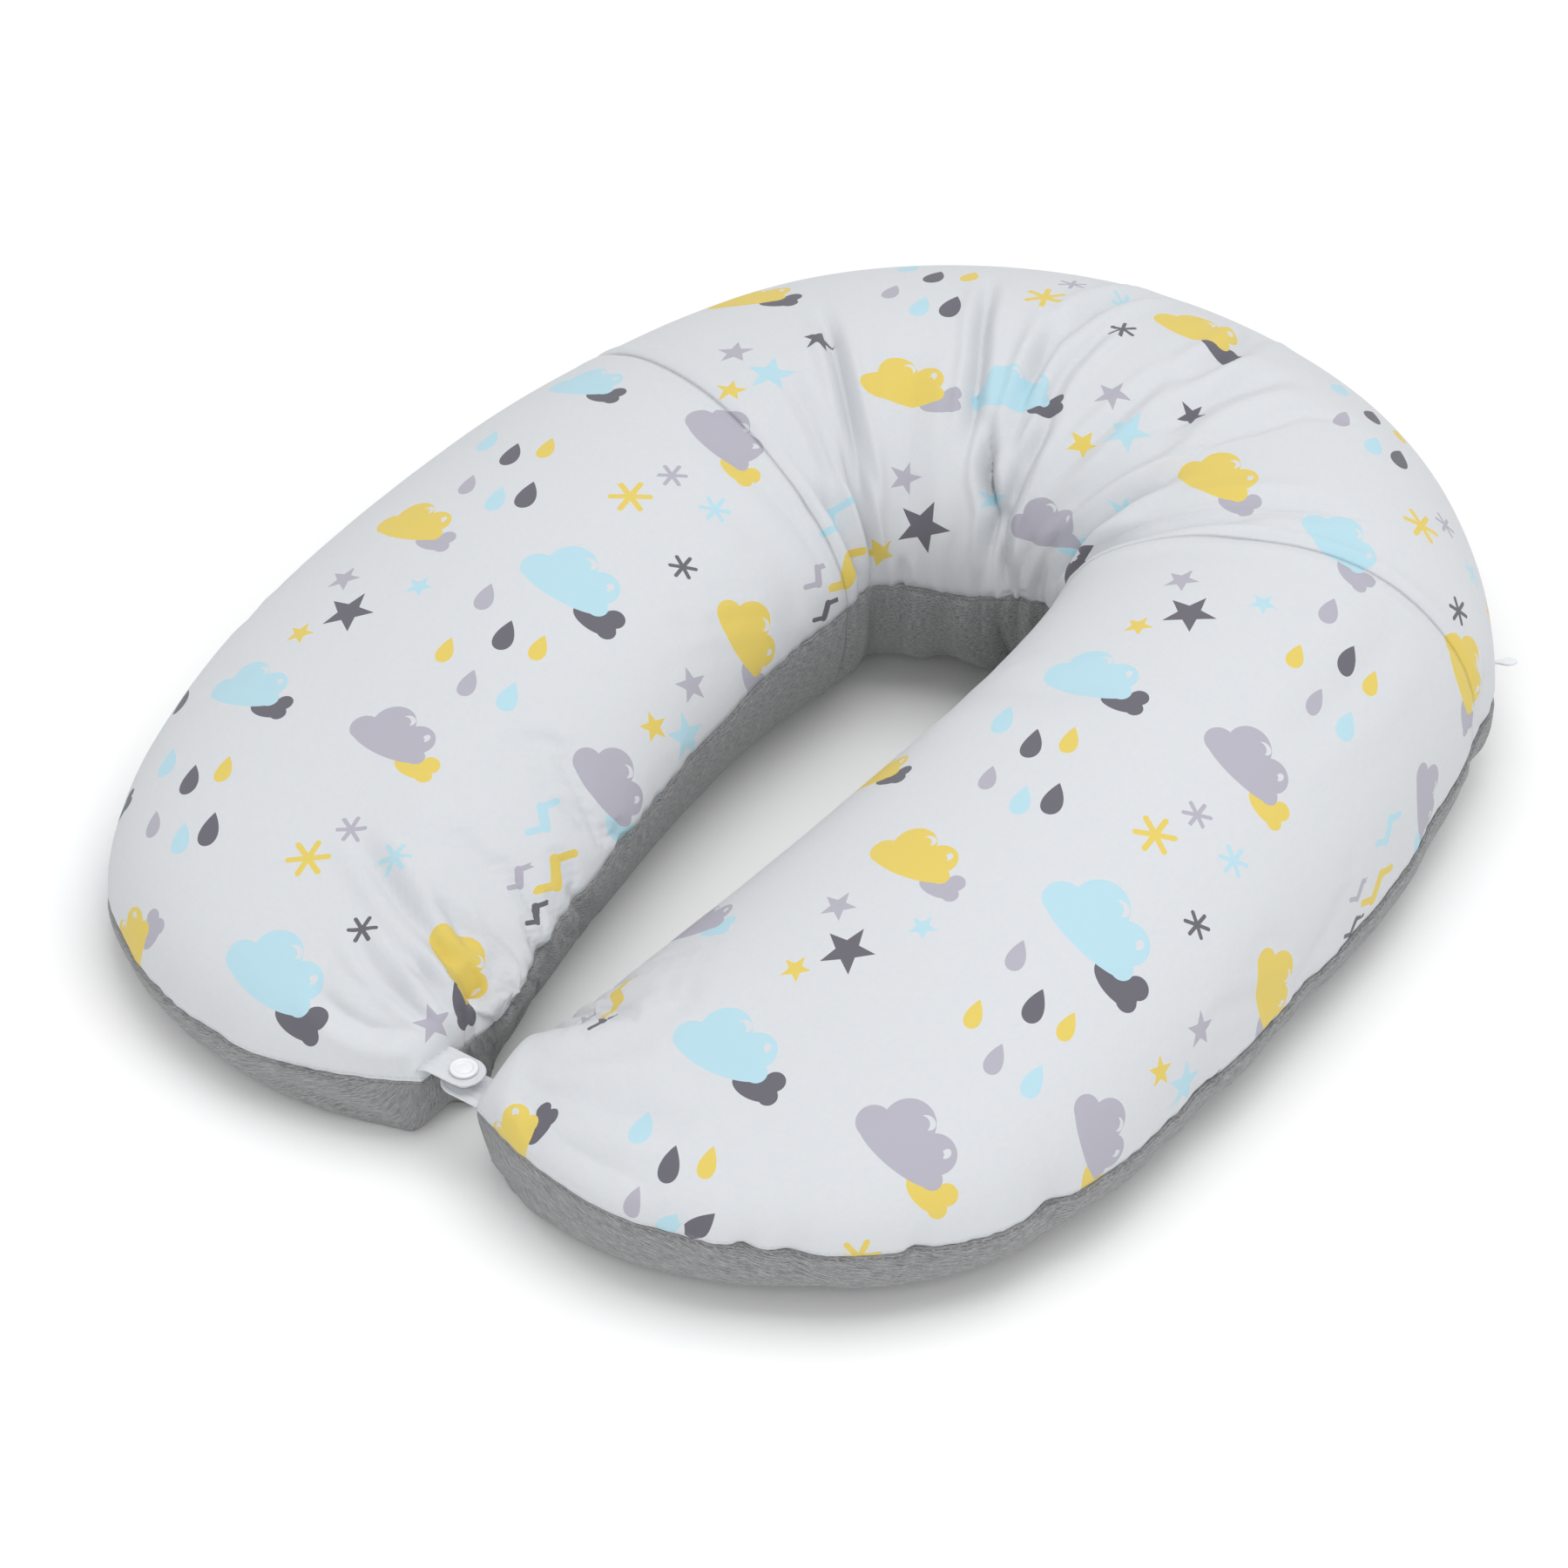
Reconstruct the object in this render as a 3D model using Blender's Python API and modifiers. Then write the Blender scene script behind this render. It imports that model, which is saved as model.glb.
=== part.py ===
"""Nursing pillow: a bead-filled crescent pillow bent into a ring and closed with a snap tab.

The removable cover has three printed panels on top, three jersey panels below and a zip
hidden in the outer seam of the bend. Inside it lies a plain inner case that holds the beads.
Metres, +Z up, origin on the floor under the middle of the ring, snap tab towards -Y.
"""

import math

import bmesh
import bpy
import numpy as np

# The bend's outer seam is a true arc, so that the zip slider can run along it.
BEND_CENTRE = (0.015, 0.070)
BEND_RADIUS = 0.294
BEND_SEAM_HEIGHT = 0.055

# Cross sections of the ring, each cut from the outer seam to the inner seam:
# outer x, outer y, inner x, inner y, outer seam height, inner seam height, crest height.
LEFT_ARM = (
    (-0.021, -0.338, -0.015, -0.288, 0.046, 0.052, 0.072),
    (-0.092, -0.362, -0.015, -0.262, 0.038, 0.060, 0.080),
    (-0.177, -0.354, -0.019, -0.232, 0.034, 0.066, 0.092),
    (-0.257, -0.302, -0.024, -0.189, 0.034, 0.072, 0.108),
    (-0.297, -0.204, -0.029, -0.139, 0.034, 0.078, 0.124),
    (-0.305, -0.094, -0.035, -0.079, 0.038, 0.084, 0.142),
    (-0.297, 0.026, -0.037, -0.004, 0.045, 0.090, 0.154),
)
# On the bend the outer point is given by its angle round the bend's centre, from +Y to +X:
# angle, inner x, inner y, inner seam height, crest height.
BEND = (
    (-79.0, -0.034, 0.052, 0.092, 0.158),
    (-55.0, -0.038, 0.078, 0.088, 0.162),
    (-30.0, -0.026, 0.096, 0.082, 0.166),
    (-5.0, -0.002, 0.108, 0.080, 0.170),
    (20.0, 0.021, 0.120, 0.082, 0.173),
    (40.0, 0.041, 0.126, 0.084, 0.175),
    (55.0, 0.053, 0.117, 0.084, 0.175),
)
RIGHT_ARM = (
    (0.273, 0.192, 0.061, 0.102, 0.049, 0.083, 0.174),
    (0.295, 0.086, 0.065, 0.026, 0.044, 0.078, 0.171),
    (0.304, -0.044, 0.058, -0.054, 0.043, 0.070, 0.160),
    (0.301, -0.179, 0.044, -0.129, 0.045, 0.060, 0.140),
    (0.265, -0.284, 0.031, -0.189, 0.047, 0.056, 0.115),
    (0.183, -0.347, 0.023, -0.234, 0.050, 0.054, 0.094),
    (0.098, -0.364, 0.018, -0.266, 0.050, 0.052, 0.082),
    (0.015, -0.340, 0.013, -0.296, 0.048, 0.050, 0.074),
)
LEFT_SEAM = len(LEFT_ARM)
RIGHT_SEAM = LEFT_SEAM + len(BEND)
RING_END = RIGHT_SEAM + len(RIGHT_ARM) - 1

# How round the sections are: a low power gives a full side, and the bottom is pressed flat.
TOP_FULLNESS = 0.85
BOTTOM_FULLNESS = 0.6
BOTTOM_FLATTENING = 1.12
END_ROUNDING = 0.35  # share of the last station over which an arm's end closes
PANEL_ROWS = 11
BEND_COVER_ROWS = 24  # closer, so that the cover keeps clear of the zip along its arc
SECTION_STEPS = 10
STATION_LENGTH = 0.045  # along the middle of an arm, between its last two sections
SLOPE_STEP = 0.01

# Layers, as distances in from the cover's outer face.
COVER_THICKNESS = 0.001
CASE_INSET = 0.0035
CASE_THICKNESS = 0.001
FILL_INSET = 0.0065
ZIP_ROOM = 0.009  # extra distance that the inner case keeps from the zip
SEAM_GAP = 0.0004  # half the gap between pieces sewn together
CROSS_SEAM_GAP = 0.0004

# Zip: distances in from the cover's outer face, and heights from the seam.
ZIP_LIP = 0.0025  # half the opening between the two covers that the pull comes through
ZIP_CHAIN_INSET = 0.0053
ZIP_COIL_RADIUS = 0.0008
ZIP_COIL_HEIGHT = 0.0016
ZIP_TAPE_START = 0.0028
ZIP_TAPE_WIDTH = 0.0075
ZIP_TAPE_THICKNESS = 0.0006
ZIP_CLOSED_ANGLE = 51.0
ZIP_OPEN_ANGLE = -49.0
STOP_DISTANCE = 0.0070  # from the slider's middle to a stop's middle
STOP_LENGTH = 0.003
SLIDER_LENGTH = 0.010
SLIDER_WIDTH = 0.009
SLIDER_PLATE = 0.0012
SLIDER_WEB = 0.001
SLIDER_DEPTH = 0.0057
EAR_LENGTH = 0.0044
EAR_WIDTH = 0.0020
EAR_THICKNESS = 0.0009
EAR_GAP = 0.0009  # height of the ears' inner faces over the pull's middle
PIN_RADIUS = 0.0005
PIN_OUTSIDE = 0.0006  # how far the pin stands outside the cover's outer face
PIN_FROM_EAR_MIDDLE = 0.0012
PULL_LENGTH = 0.0135
PULL_THICKNESS = 0.0012
PULL_EYE_RADIUS = 0.0016
PULL_EYE_HOLE = 0.0008
PULL_NECK = 0.0009  # half widths of the neck and, added to it, of the grip at its widest
PULL_GRIP = 0.0021
STOP_DEPTH = 0.0018
TOP_STOP_HEIGHT = 0.0020
BOTTOM_STOP_HEIGHT = 0.0050

# Tabs and snap, where the two ends of the pillow meet.
TAB_WIDTH = 0.022
TAB_LENGTH = 0.026
TAB_THICKNESS = 0.002
TAB_Y = -0.327
LEFT_TAB_ROOT = -0.0165
LEFT_TAB_HEIGHT = 0.0555
RIGHT_TAB_ROOT = 0.0115
RIGHT_TAB_HEIGHT = 0.0475
TAB_HOLE_RADIUS = 0.0016
SNAP_X = -0.002
SNAP_CAP_RADIUS = 0.0075
SNAP_RING_RADIUS = 0.0055
SNAP_SPIKE_RADIUS = 0.001
FIT_GAP = 0.0003

# Profiles of the snap's turned pieces: radius, and height from the face that each stands on.
CAP_PROFILE = (
    (0.0, 0.0018),
    (0.0035, 0.0016),
    (0.0060, 0.0012),
    (SNAP_CAP_RADIUS, 0.0004),
    (SNAP_CAP_RADIUS - 0.0003, 0.0),
)
SOCKET_PROFILE = (
    (0.0, 0.0),
    (SNAP_RING_RADIUS, 0.0),
    (SNAP_RING_RADIUS, 0.0008),
    (0.0038, 0.0024),
    (0.0023, 0.0024),
    (0.0023, 0.0008),
    (0.0, 0.0008),
)
STUD_PROFILE = (
    (0.0, 0.0),
    (SNAP_RING_RADIUS, 0.0),
    (SNAP_RING_RADIUS, 0.0007),
    (0.0019, 0.0009),
    (0.0016, 0.0021),
    (0.0, 0.0021),
)


def natural_spline(values, at):
    """Smooth curve through the rows of values, which lie at 0, 1, 2, ..."""
    count = len(values)
    system = np.eye(count)
    right = np.zeros_like(values)
    for row in range(1, count - 1):
        system[row, row - 1 : row + 2] = (1.0, 4.0, 1.0)
        right[row] = 6.0 * (values[row - 1] - 2.0 * values[row] + values[row + 1])
    second = np.linalg.solve(system, right)
    start = min(max(int(math.floor(at)), 0), count - 2)
    after = at - start
    before = 1.0 - after
    bend = (before**3 - before) * second[start] + (after**3 - after) * second[start + 1]
    return before * values[start] + after * values[start + 1] + bend / 6.0


def bend_point(angle, inset=0.0):
    """Plan position on the bend's outer arc, moved in towards its centre."""
    turn = math.radians(angle)
    reach = BEND_RADIUS - inset
    return BEND_CENTRE[0] + reach * math.sin(turn), BEND_CENTRE[1] + reach * math.cos(turn)


def ring_stations():
    bend = [(*bend_point(row[0]), *row[1:3], BEND_SEAM_HEIGHT, *row[3:5]) for row in BEND]
    return np.array([*LEFT_ARM, *bend, *RIGHT_ARM])


STATIONS = ring_stations()


def end_height(at, inset):
    """Share of the full height that a section keeps, where an arm's end closes."""
    closed = inset / STATION_LENGTH
    distance = min(at, RING_END - at) - closed
    share = min(max(distance / END_ROUNDING, 0.0), 1.0)
    return math.sqrt(1.0 - (1.0 - share) ** 2)


def right_of(direction):
    """Unit vector in plan, square to a direction and on its right, where the ring's inside is."""
    return np.array((direction[1], -direction[0])) / np.linalg.norm(direction)


def section(at, inset):
    """Top and bottom rows of points from the outer seam to the inner seam."""
    values = natural_spline(STATIONS, at)
    slope = natural_spline(STATIONS, at + SLOPE_STEP) - natural_spline(STATIONS, at - SLOPE_STEP)
    outer = values[0:2] + right_of(slope[0:2]) * (inset + (ZIP_ROOM if inset else 0.0))
    inner = values[2:4] - right_of(slope[2:4]) * inset
    keep = end_height(at, inset)
    top = []
    bottom = []
    for step in range(SECTION_STEPS + 1):
        turn = math.pi * step / SECTION_STEPS
        share = (1.0 - math.cos(turn)) / 2.0
        lift = max(math.sin(turn), 0.0) if 0 < step < SECTION_STEPS else 0.0
        x, y = outer + (inner - outer) * share
        seam = values[4] + (values[5] - values[4]) * share
        rise = (values[6] - inset - seam) * lift**TOP_FULLNESS
        drop = (seam - inset) * min(1.0, BOTTOM_FLATTENING * lift**BOTTOM_FULLNESS)
        top.append((x, y, seam + rise * keep))
        bottom.append((x, y, seam - drop * keep))
    return np.array(top), np.array(bottom)


def row_places(first, last, inset, count):
    """Where the rows of a panel lie: evenly, with closer rows round an arm's end."""
    low = inset / STATION_LENGTH if first == 0 else first
    high = RING_END - inset / STATION_LENGTH if last == RING_END else last
    places = list(np.linspace(low, high, count + 1))
    rounding = [END_ROUNDING * share for share in (0.03, 0.15, 0.4)]
    if first == 0:
        places += [low + step for step in rounding]
    if last == RING_END:
        places += [high - step for step in rounding]
    return sorted(places)


def shift_to_seam(points, side):
    """Moves a row off a cross seam, along the plan normal of the section."""
    along = points[-1, :2] - points[0, :2]
    normal = np.array((-along[1], along[0])) / np.linalg.norm(along)
    points[:, :2] += normal * side * CROSS_SEAM_GAP
    return points


def panel_rows(first, last, inset, count):
    """Rows of (top, bottom) points of one stretch of the ring."""
    rows = []
    for at in row_places(first, last, inset, count):
        top, bottom = section(at, inset)
        if at == first != 0:
            top, bottom = shift_to_seam(top, 1), shift_to_seam(bottom, 1)
        if at == last != RING_END:
            top, bottom = shift_to_seam(top, -1), shift_to_seam(bottom, -1)
        rows.append((top, bottom))
    return rows


def material(name, colour, roughness, metallic=0.0):
    made = bpy.data.materials.new(name)
    made.use_nodes = True
    shader = made.node_tree.nodes["Principled BSDF"]
    shader.inputs["Base Color"].default_value = (*colour, 1.0)
    shader.inputs["Roughness"].default_value = roughness
    shader.inputs["Metallic"].default_value = metallic
    made.diffuse_color = (*colour, 1.0)
    return made


def add_object(name, data, colour):
    """Links an object into the pillow's collection, with its own material."""
    made = bpy.data.objects.new(name, data)
    PILLOW.objects.link(made)
    data.materials.append(material(name, *colour))
    return made


def mesh_of(name, points, faces):
    mesh = bpy.data.meshes.new(name)
    mesh.from_pydata([tuple(point) for point in points], [], faces)
    mesh.validate()
    return mesh


def grid_faces(rows, columns, upward):
    """Quads of a grid of rows; upward faces look up, the others down."""
    faces = []
    for row in range(rows - 1):
        for column in range(columns - 1):
            corner = row * columns + column
            quad = (corner, corner + 1, corner + columns + 1, corner + columns)
            faces.append(quad if upward else quad[::-1])
    return faces


def sheet_seam(sheet):
    """Height of the seam line under each point of a section's row."""
    reach = np.linalg.norm(sheet[:, :2] - sheet[0, :2], axis=1)
    return sheet[0, 2] + (sheet[-1, 2] - sheet[0, 2]) * reach / reach[-1]


def shell(name, rows, upward, lip, thickness, colour):
    """An open sheet of fabric with thickness, one side of a stretch of the ring."""
    sheets = [np.array(top if upward else bottom) for top, bottom in rows]
    raised = 1.0 if upward else -1.0
    for sheet in sheets:
        clearance = np.full(len(sheet), SEAM_GAP)
        clearance[0] = lip
        nearest = sheet_seam(sheet) * raised + clearance
        sheet[:, 2] = np.maximum(sheet[:, 2] * raised, nearest) * raised
    points = np.concatenate(sheets)
    mesh = mesh_of(name, points, grid_faces(len(sheets), len(sheets[0]), upward))
    made = add_object(name, mesh, colour)
    solidify = made.modifiers.new("thickness", "SOLIDIFY")
    solidify.thickness = thickness
    solidify.offset = -1.0
    mesh.shade_smooth()
    return made


def filled(name, rows, colour):
    """The closed body of the filling in one stretch of the ring."""
    loops = [np.concatenate((top, bottom[-2:0:-1])) for top, bottom in rows]
    size = len(loops[0])
    faces = [tuple(range(size))]
    for row in range(len(loops) - 1):
        for step in range(size):
            corner = row * size + step
            beside = row * size + (step + 1) % size
            faces.append((corner, corner + size, beside + size, beside))
    faces.append(tuple(reversed(range((len(loops) - 1) * size, len(loops) * size))))
    mesh = mesh_of(name, np.concatenate(loops), faces)
    made = add_object(name, mesh, colour)
    cage = bmesh.new()
    cage.from_mesh(mesh)
    bmesh.ops.recalc_face_normals(cage, faces=cage.faces)
    cage.to_mesh(mesh)
    cage.free()
    return made


def make_cover_and_filling():
    stretches = (
        ("left_arm", 0, LEFT_SEAM),
        ("bend", LEFT_SEAM, RIGHT_SEAM),
        ("right_arm", RIGHT_SEAM, RING_END),
    )
    for name, first, last in stretches:
        zipped = name == "bend"
        cover = panel_rows(first, last, 0.0, BEND_COVER_ROWS if zipped else PANEL_ROWS)
        lip = ZIP_LIP if zipped else SEAM_GAP
        shell(name + "_top_cover", cover, True, lip, COVER_THICKNESS, PRINTED_COTTON)
        shell(name + "_bottom_cover", cover, False, lip, COVER_THICKNESS, GREY_JERSEY)
        case = panel_rows(first, last, CASE_INSET, PANEL_ROWS)
        shell(name + "_inner_case_top", case, True, SEAM_GAP, CASE_THICKNESS, CASE_COTTON)
        shell(name + "_inner_case_bottom", case, False, SEAM_GAP, CASE_THICKNESS, CASE_COTTON)
        fill = panel_rows(first, last, FILL_INSET, PANEL_ROWS)
        closed_rows = slice(1 if first == 0 else 0, -1 if last == RING_END else None)
        filled(name + "_bead_filling", fill[closed_rows], BEADS)


def arc_angles(first, last, count):
    return [first + (last - first) * step / count for step in range(count + 1)]


def arc_step(length):
    """The angle that a length takes up on the zip's arc, in degrees."""
    return math.degrees(length / (BEND_RADIUS - ZIP_CHAIN_INSET))


def zip_tape(name, side):
    inset = ZIP_CHAIN_INSET - ZIP_TAPE_THICKNESS / 2
    ends = arc_step(STOP_DISTANCE + STOP_LENGTH)
    angles = arc_angles(ZIP_OPEN_ANGLE - ends, ZIP_CLOSED_ANGLE + ends, 36)
    points = []
    for angle in angles:
        x, y = bend_point(angle, inset)
        for height in (ZIP_TAPE_START, ZIP_TAPE_START + ZIP_TAPE_WIDTH):
            points.append((x, y, BEND_SEAM_HEIGHT + side * height))
    mesh = mesh_of(name, points, grid_faces(len(angles), 2, side < 0))
    made = add_object(name, mesh, TAPE)
    solidify = made.modifiers.new("thickness", "SOLIDIFY")
    solidify.thickness = ZIP_TAPE_THICKNESS
    solidify.offset = -1.0


def zip_coil(name, side):
    angles = arc_angles(
        ZIP_OPEN_ANGLE - arc_step(STOP_DISTANCE - STOP_LENGTH),
        ZIP_CLOSED_ANGLE + arc_step(STOP_DISTANCE - STOP_LENGTH),
        36,
    )
    curve = bpy.data.curves.new(name, "CURVE")
    curve.dimensions = "3D"
    curve.bevel_depth = ZIP_COIL_RADIUS
    curve.bevel_resolution = 1
    curve.use_fill_caps = True
    line = curve.splines.new("POLY")
    line.points.add(len(angles) - 1)
    for point, angle in zip(line.points, angles):
        x, y = bend_point(angle, ZIP_CHAIN_INSET)
        point.co = (x, y, BEND_SEAM_HEIGHT + side * ZIP_COIL_HEIGHT, 1.0)
    add_object(name, curve, ZIP_PLASTIC)


def block(name, size, colour, collection=None):
    mesh = bpy.data.meshes.new(name)
    cage = bmesh.new()
    bmesh.ops.create_cube(cage, size=1.0)
    bmesh.ops.scale(cage, vec=size, verts=cage.verts)
    cage.to_mesh(mesh)
    cage.free()
    if collection is None:
        return add_object(name, mesh, colour)
    made = bpy.data.objects.new(name, mesh)
    collection.objects.link(made)
    made.hide_render = True
    made.display_type = "WIRE"
    return made


def turn_to(angle):
    """Rotation about Z that points local X outwards at this angle of the bend."""
    return math.radians(90.0 - angle)


def zip_stop(name, angle, height, tall):
    stop = block(name, (STOP_DEPTH, STOP_LENGTH, tall), ZIP_PLASTIC)
    x, y = bend_point(angle, ZIP_CHAIN_INSET)
    stop.location = (x, y, BEND_SEAM_HEIGHT + height)
    stop.rotation_euler = (0.0, 0.0, turn_to(angle))


def join_to(target, piece):
    union = target.modifiers.new(piece.name, "BOOLEAN")
    union.operation = "UNION"
    union.object = piece


def zip_slider(parent):
    """Two plates on either side of the coils, a web between them and two ears with a pin."""
    middle = BEND_RADIUS - ZIP_CHAIN_INSET
    plate_size = (SLIDER_PLATE, SLIDER_LENGTH, SLIDER_WIDTH)
    plate_step = (SLIDER_DEPTH - SLIDER_PLATE) / 2
    slider = block("zip_slider", plate_size, SLIDER_PAINT)
    slider.parent = parent
    slider.location = (middle + plate_step, 0.0, 0.0)
    ear_height = EAR_GAP + EAR_THICKNESS / 2
    pin_x = BEND_RADIUS + PIN_OUTSIDE
    ear_x = pin_x - PIN_FROM_EAR_MIDDLE
    ear_size = (EAR_LENGTH, EAR_WIDTH, EAR_THICKNESS)
    web_size = (SLIDER_DEPTH - SLIDER_PLATE, SLIDER_LENGTH * 0.4, SLIDER_WEB)
    pin_size = (2 * PIN_RADIUS, 2 * PIN_RADIUS, 2 * ear_height)
    additions = (
        ("slider_inner_plate", plate_size, (middle - plate_step, 0.0, 0.0)),
        ("slider_web", web_size, (middle, 0.0, 0.0)),
        ("slider_upper_ear", ear_size, (ear_x, 0.0, ear_height)),
        ("slider_lower_ear", ear_size, (ear_x, 0.0, -ear_height)),
        ("slider_pin", pin_size, (pin_x, 0.0, 0.0)),
    )
    for name, size, place in additions:
        piece = block(name, size, None, HELPERS)
        piece.parent = parent
        piece.location = place
        join_to(slider, piece)


def pull_half_width(reach):
    """Half the pull's width: a round eye, a thin neck and a drop-shaped grip."""
    if reach < PULL_EYE_RADIUS:
        return math.sqrt(PULL_EYE_RADIUS**2 - reach**2)
    share = (reach - PULL_EYE_RADIUS) / (PULL_LENGTH - PULL_EYE_RADIUS)
    return PULL_NECK + PULL_GRIP * math.sin(math.pi * share**1.4)


def flat_piece(name, outline, holes, thickness, colour):
    """A flat plate cut to an outline, lying in its own XY plane."""
    curve = bpy.data.curves.new(name, "CURVE")
    curve.dimensions = "2D"
    curve.fill_mode = "BOTH"
    curve.extrude = thickness / 2
    for loop in (outline, *holes):
        line = curve.splines.new("POLY")
        line.points.add(len(loop) - 1)
        for point, (x, y) in zip(line.points, loop):
            point.co = (x, y, 0.0, 1.0)
        line.use_cyclic_u = True
    return add_object(name, curve, colour)


def circle_points(x, y, radius, count):
    turns = [2.0 * math.pi * step / count for step in range(count)]
    return [(x + radius * math.cos(turn), y + radius * math.sin(turn)) for turn in turns]


def zip_pull(parent):
    eye = [-PULL_EYE_RADIUS * math.cos(math.pi * step / 12) for step in range(1, 10)]
    grip = [PULL_EYE_RADIUS + (PULL_LENGTH - PULL_EYE_RADIUS) * step / 14 for step in range(1, 14)]
    reaches = eye + grip
    upper = [(reach, pull_half_width(reach)) for reach in reaches]
    lower = [(x, -y) for x, y in reversed(upper)]
    outline = [(-PULL_EYE_RADIUS, 0.0), *upper, (PULL_LENGTH, 0.0), *lower]
    hole = circle_points(0.0, 0.0, PULL_EYE_HOLE, 10)
    pull = flat_piece("zip_pull", outline, [hole], PULL_THICKNESS, ZIP_PLASTIC)
    pull.parent = parent
    pull.location = (BEND_RADIUS + PIN_OUTSIDE, 0.0, 0.0)


def make_zip():
    for name, side in (("upper", 1), ("lower", -1)):
        zip_tape("zip_tape_" + name, side)
        zip_coil("zip_coil_" + name, side)
        closed = ZIP_CLOSED_ANGLE + arc_step(STOP_DISTANCE)
        zip_stop("zip_top_stop_" + name, closed, side * ZIP_COIL_HEIGHT, TOP_STOP_HEIGHT)
    opened = ZIP_OPEN_ANGLE - arc_step(STOP_DISTANCE)
    zip_stop("zip_bottom_stop", opened, 0.0, BOTTOM_STOP_HEIGHT)
    axis = bpy.data.objects.new("zip_slider_axis", None)
    PILLOW.objects.link(axis)
    axis.location = (*BEND_CENTRE, BEND_SEAM_HEIGHT)
    axis.rotation_euler = (0.0, 0.0, turn_to(ZIP_CLOSED_ANGLE))
    zip_slider(axis)
    zip_pull(axis)


def end_tab(name, root, height, direction):
    """A fabric tab with a round tip and a hole for the snap's spike; its origin is at its root."""
    straight = TAB_LENGTH - TAB_WIDTH / 2
    turns = [math.pi * (0.5 - step / 12) for step in range(13)]
    round_off = TAB_WIDTH / 2
    tip = [(straight + round_off * math.cos(turn), round_off * math.sin(turn)) for turn in turns]
    outline = [(0.0, TAB_WIDTH / 2), *tip, (0.0, -TAB_WIDTH / 2)]
    outline = [(direction * x, y) for x, y in outline]
    hole = circle_points(SNAP_X - root, 0.0, TAB_HOLE_RADIUS, 12)
    tab = flat_piece(name, outline, [hole], TAB_THICKNESS, PRINTED_COTTON)
    tab.location = (root, TAB_Y, height)


def turned(name, profile, colour):
    """A turned piece on the snap's axis; its profile is a line of (radius, height) points."""
    downwards = profile if profile[0][1] > profile[-1][1] else profile[::-1]
    points = [(radius, 0.0, height) for radius, height in downwards]
    mesh = bpy.data.meshes.new(name)
    mesh.from_pydata(points, [(step, step + 1) for step in range(len(points) - 1)], [])
    made = add_object(name, mesh, colour)
    made.location = (SNAP_X, TAB_Y, 0.0)
    screw = made.modifiers.new("turning", "SCREW")
    screw.steps = 24
    screw.render_steps = 24
    screw.use_merge_vertices = True
    screw.merge_threshold = 0.00001
    return made


def snap_button(base, side):
    """Domed cap with a spike through the tab; side is 1 for a cap on top and -1 for one below."""
    through = base - side * (FIT_GAP + TAB_THICKNESS)
    spike = ((SNAP_SPIKE_RADIUS, base), (SNAP_SPIKE_RADIUS, through), (0.0, through - side * FIT_GAP / 3))
    return [(radius, base + side * height) for radius, height in CAP_PROFILE] + list(spike)


def snap_half(profile, base, side):
    """Socket or stud, standing off its tab's face."""
    return [(radius, base + side * height) for radius, height in profile]


def make_tabs_and_snap():
    end_tab("left_end_tab", LEFT_TAB_ROOT, LEFT_TAB_HEIGHT, 1)
    end_tab("right_end_tab", RIGHT_TAB_ROOT, RIGHT_TAB_HEIGHT, -1)
    upper_face = LEFT_TAB_HEIGHT + TAB_THICKNESS / 2
    upper_back = LEFT_TAB_HEIGHT - TAB_THICKNESS / 2
    lower_face = RIGHT_TAB_HEIGHT + TAB_THICKNESS / 2
    lower_back = RIGHT_TAB_HEIGHT - TAB_THICKNESS / 2
    turned("snap_cap", snap_button(upper_face + FIT_GAP, 1), SNAP_PLASTIC)
    turned("snap_back_cap", snap_button(lower_back - FIT_GAP, -1), SNAP_PLASTIC)
    turned("snap_socket", snap_half(SOCKET_PROFILE, upper_back - 2 * FIT_GAP, -1), SNAP_PLASTIC)
    turned("snap_stud", snap_half(STUD_PROFILE, lower_face + 2 * FIT_GAP, 1), SNAP_PLASTIC)


def clear_scene():
    for old in list(bpy.data.objects):
        bpy.data.objects.remove(old)


def new_collection(name):
    made = bpy.data.collections.new(name)
    bpy.context.scene.collection.children.link(made)
    return made


# Colour, roughness and metallic value of each kind of material.
PRINTED_COTTON = ((0.74, 0.77, 0.79), 0.85)
GREY_JERSEY = ((0.24, 0.24, 0.24), 0.95)
CASE_COTTON = ((0.80, 0.80, 0.77), 0.90)
BEADS = ((0.90, 0.90, 0.90), 0.60)
TAPE = ((0.75, 0.76, 0.77), 0.90)
ZIP_PLASTIC = ((0.85, 0.86, 0.87), 0.40)
SLIDER_PAINT = ((0.82, 0.83, 0.84), 0.35)
SNAP_PLASTIC = ((0.88, 0.89, 0.90), 0.30)

clear_scene()
PILLOW = new_collection("nursing_pillow")
HELPERS = new_collection("helpers")
make_cover_and_filling()
make_zip()
make_tabs_and_snap()
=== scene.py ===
"""Looks of the nursing pillow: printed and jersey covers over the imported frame, tabs, snap and zip.

The covers are one soft ring, lofted through the same cross sections as the CAD solids, inflated by
a cloth simulation, creased and then cut into its panels. Metres, in the frame's axes.

A place on the ring is (along, across): along counts the cross sections from the left end, and across
runs from 0 at the outer seam to 1 at the inner seam.
"""

import math

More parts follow.
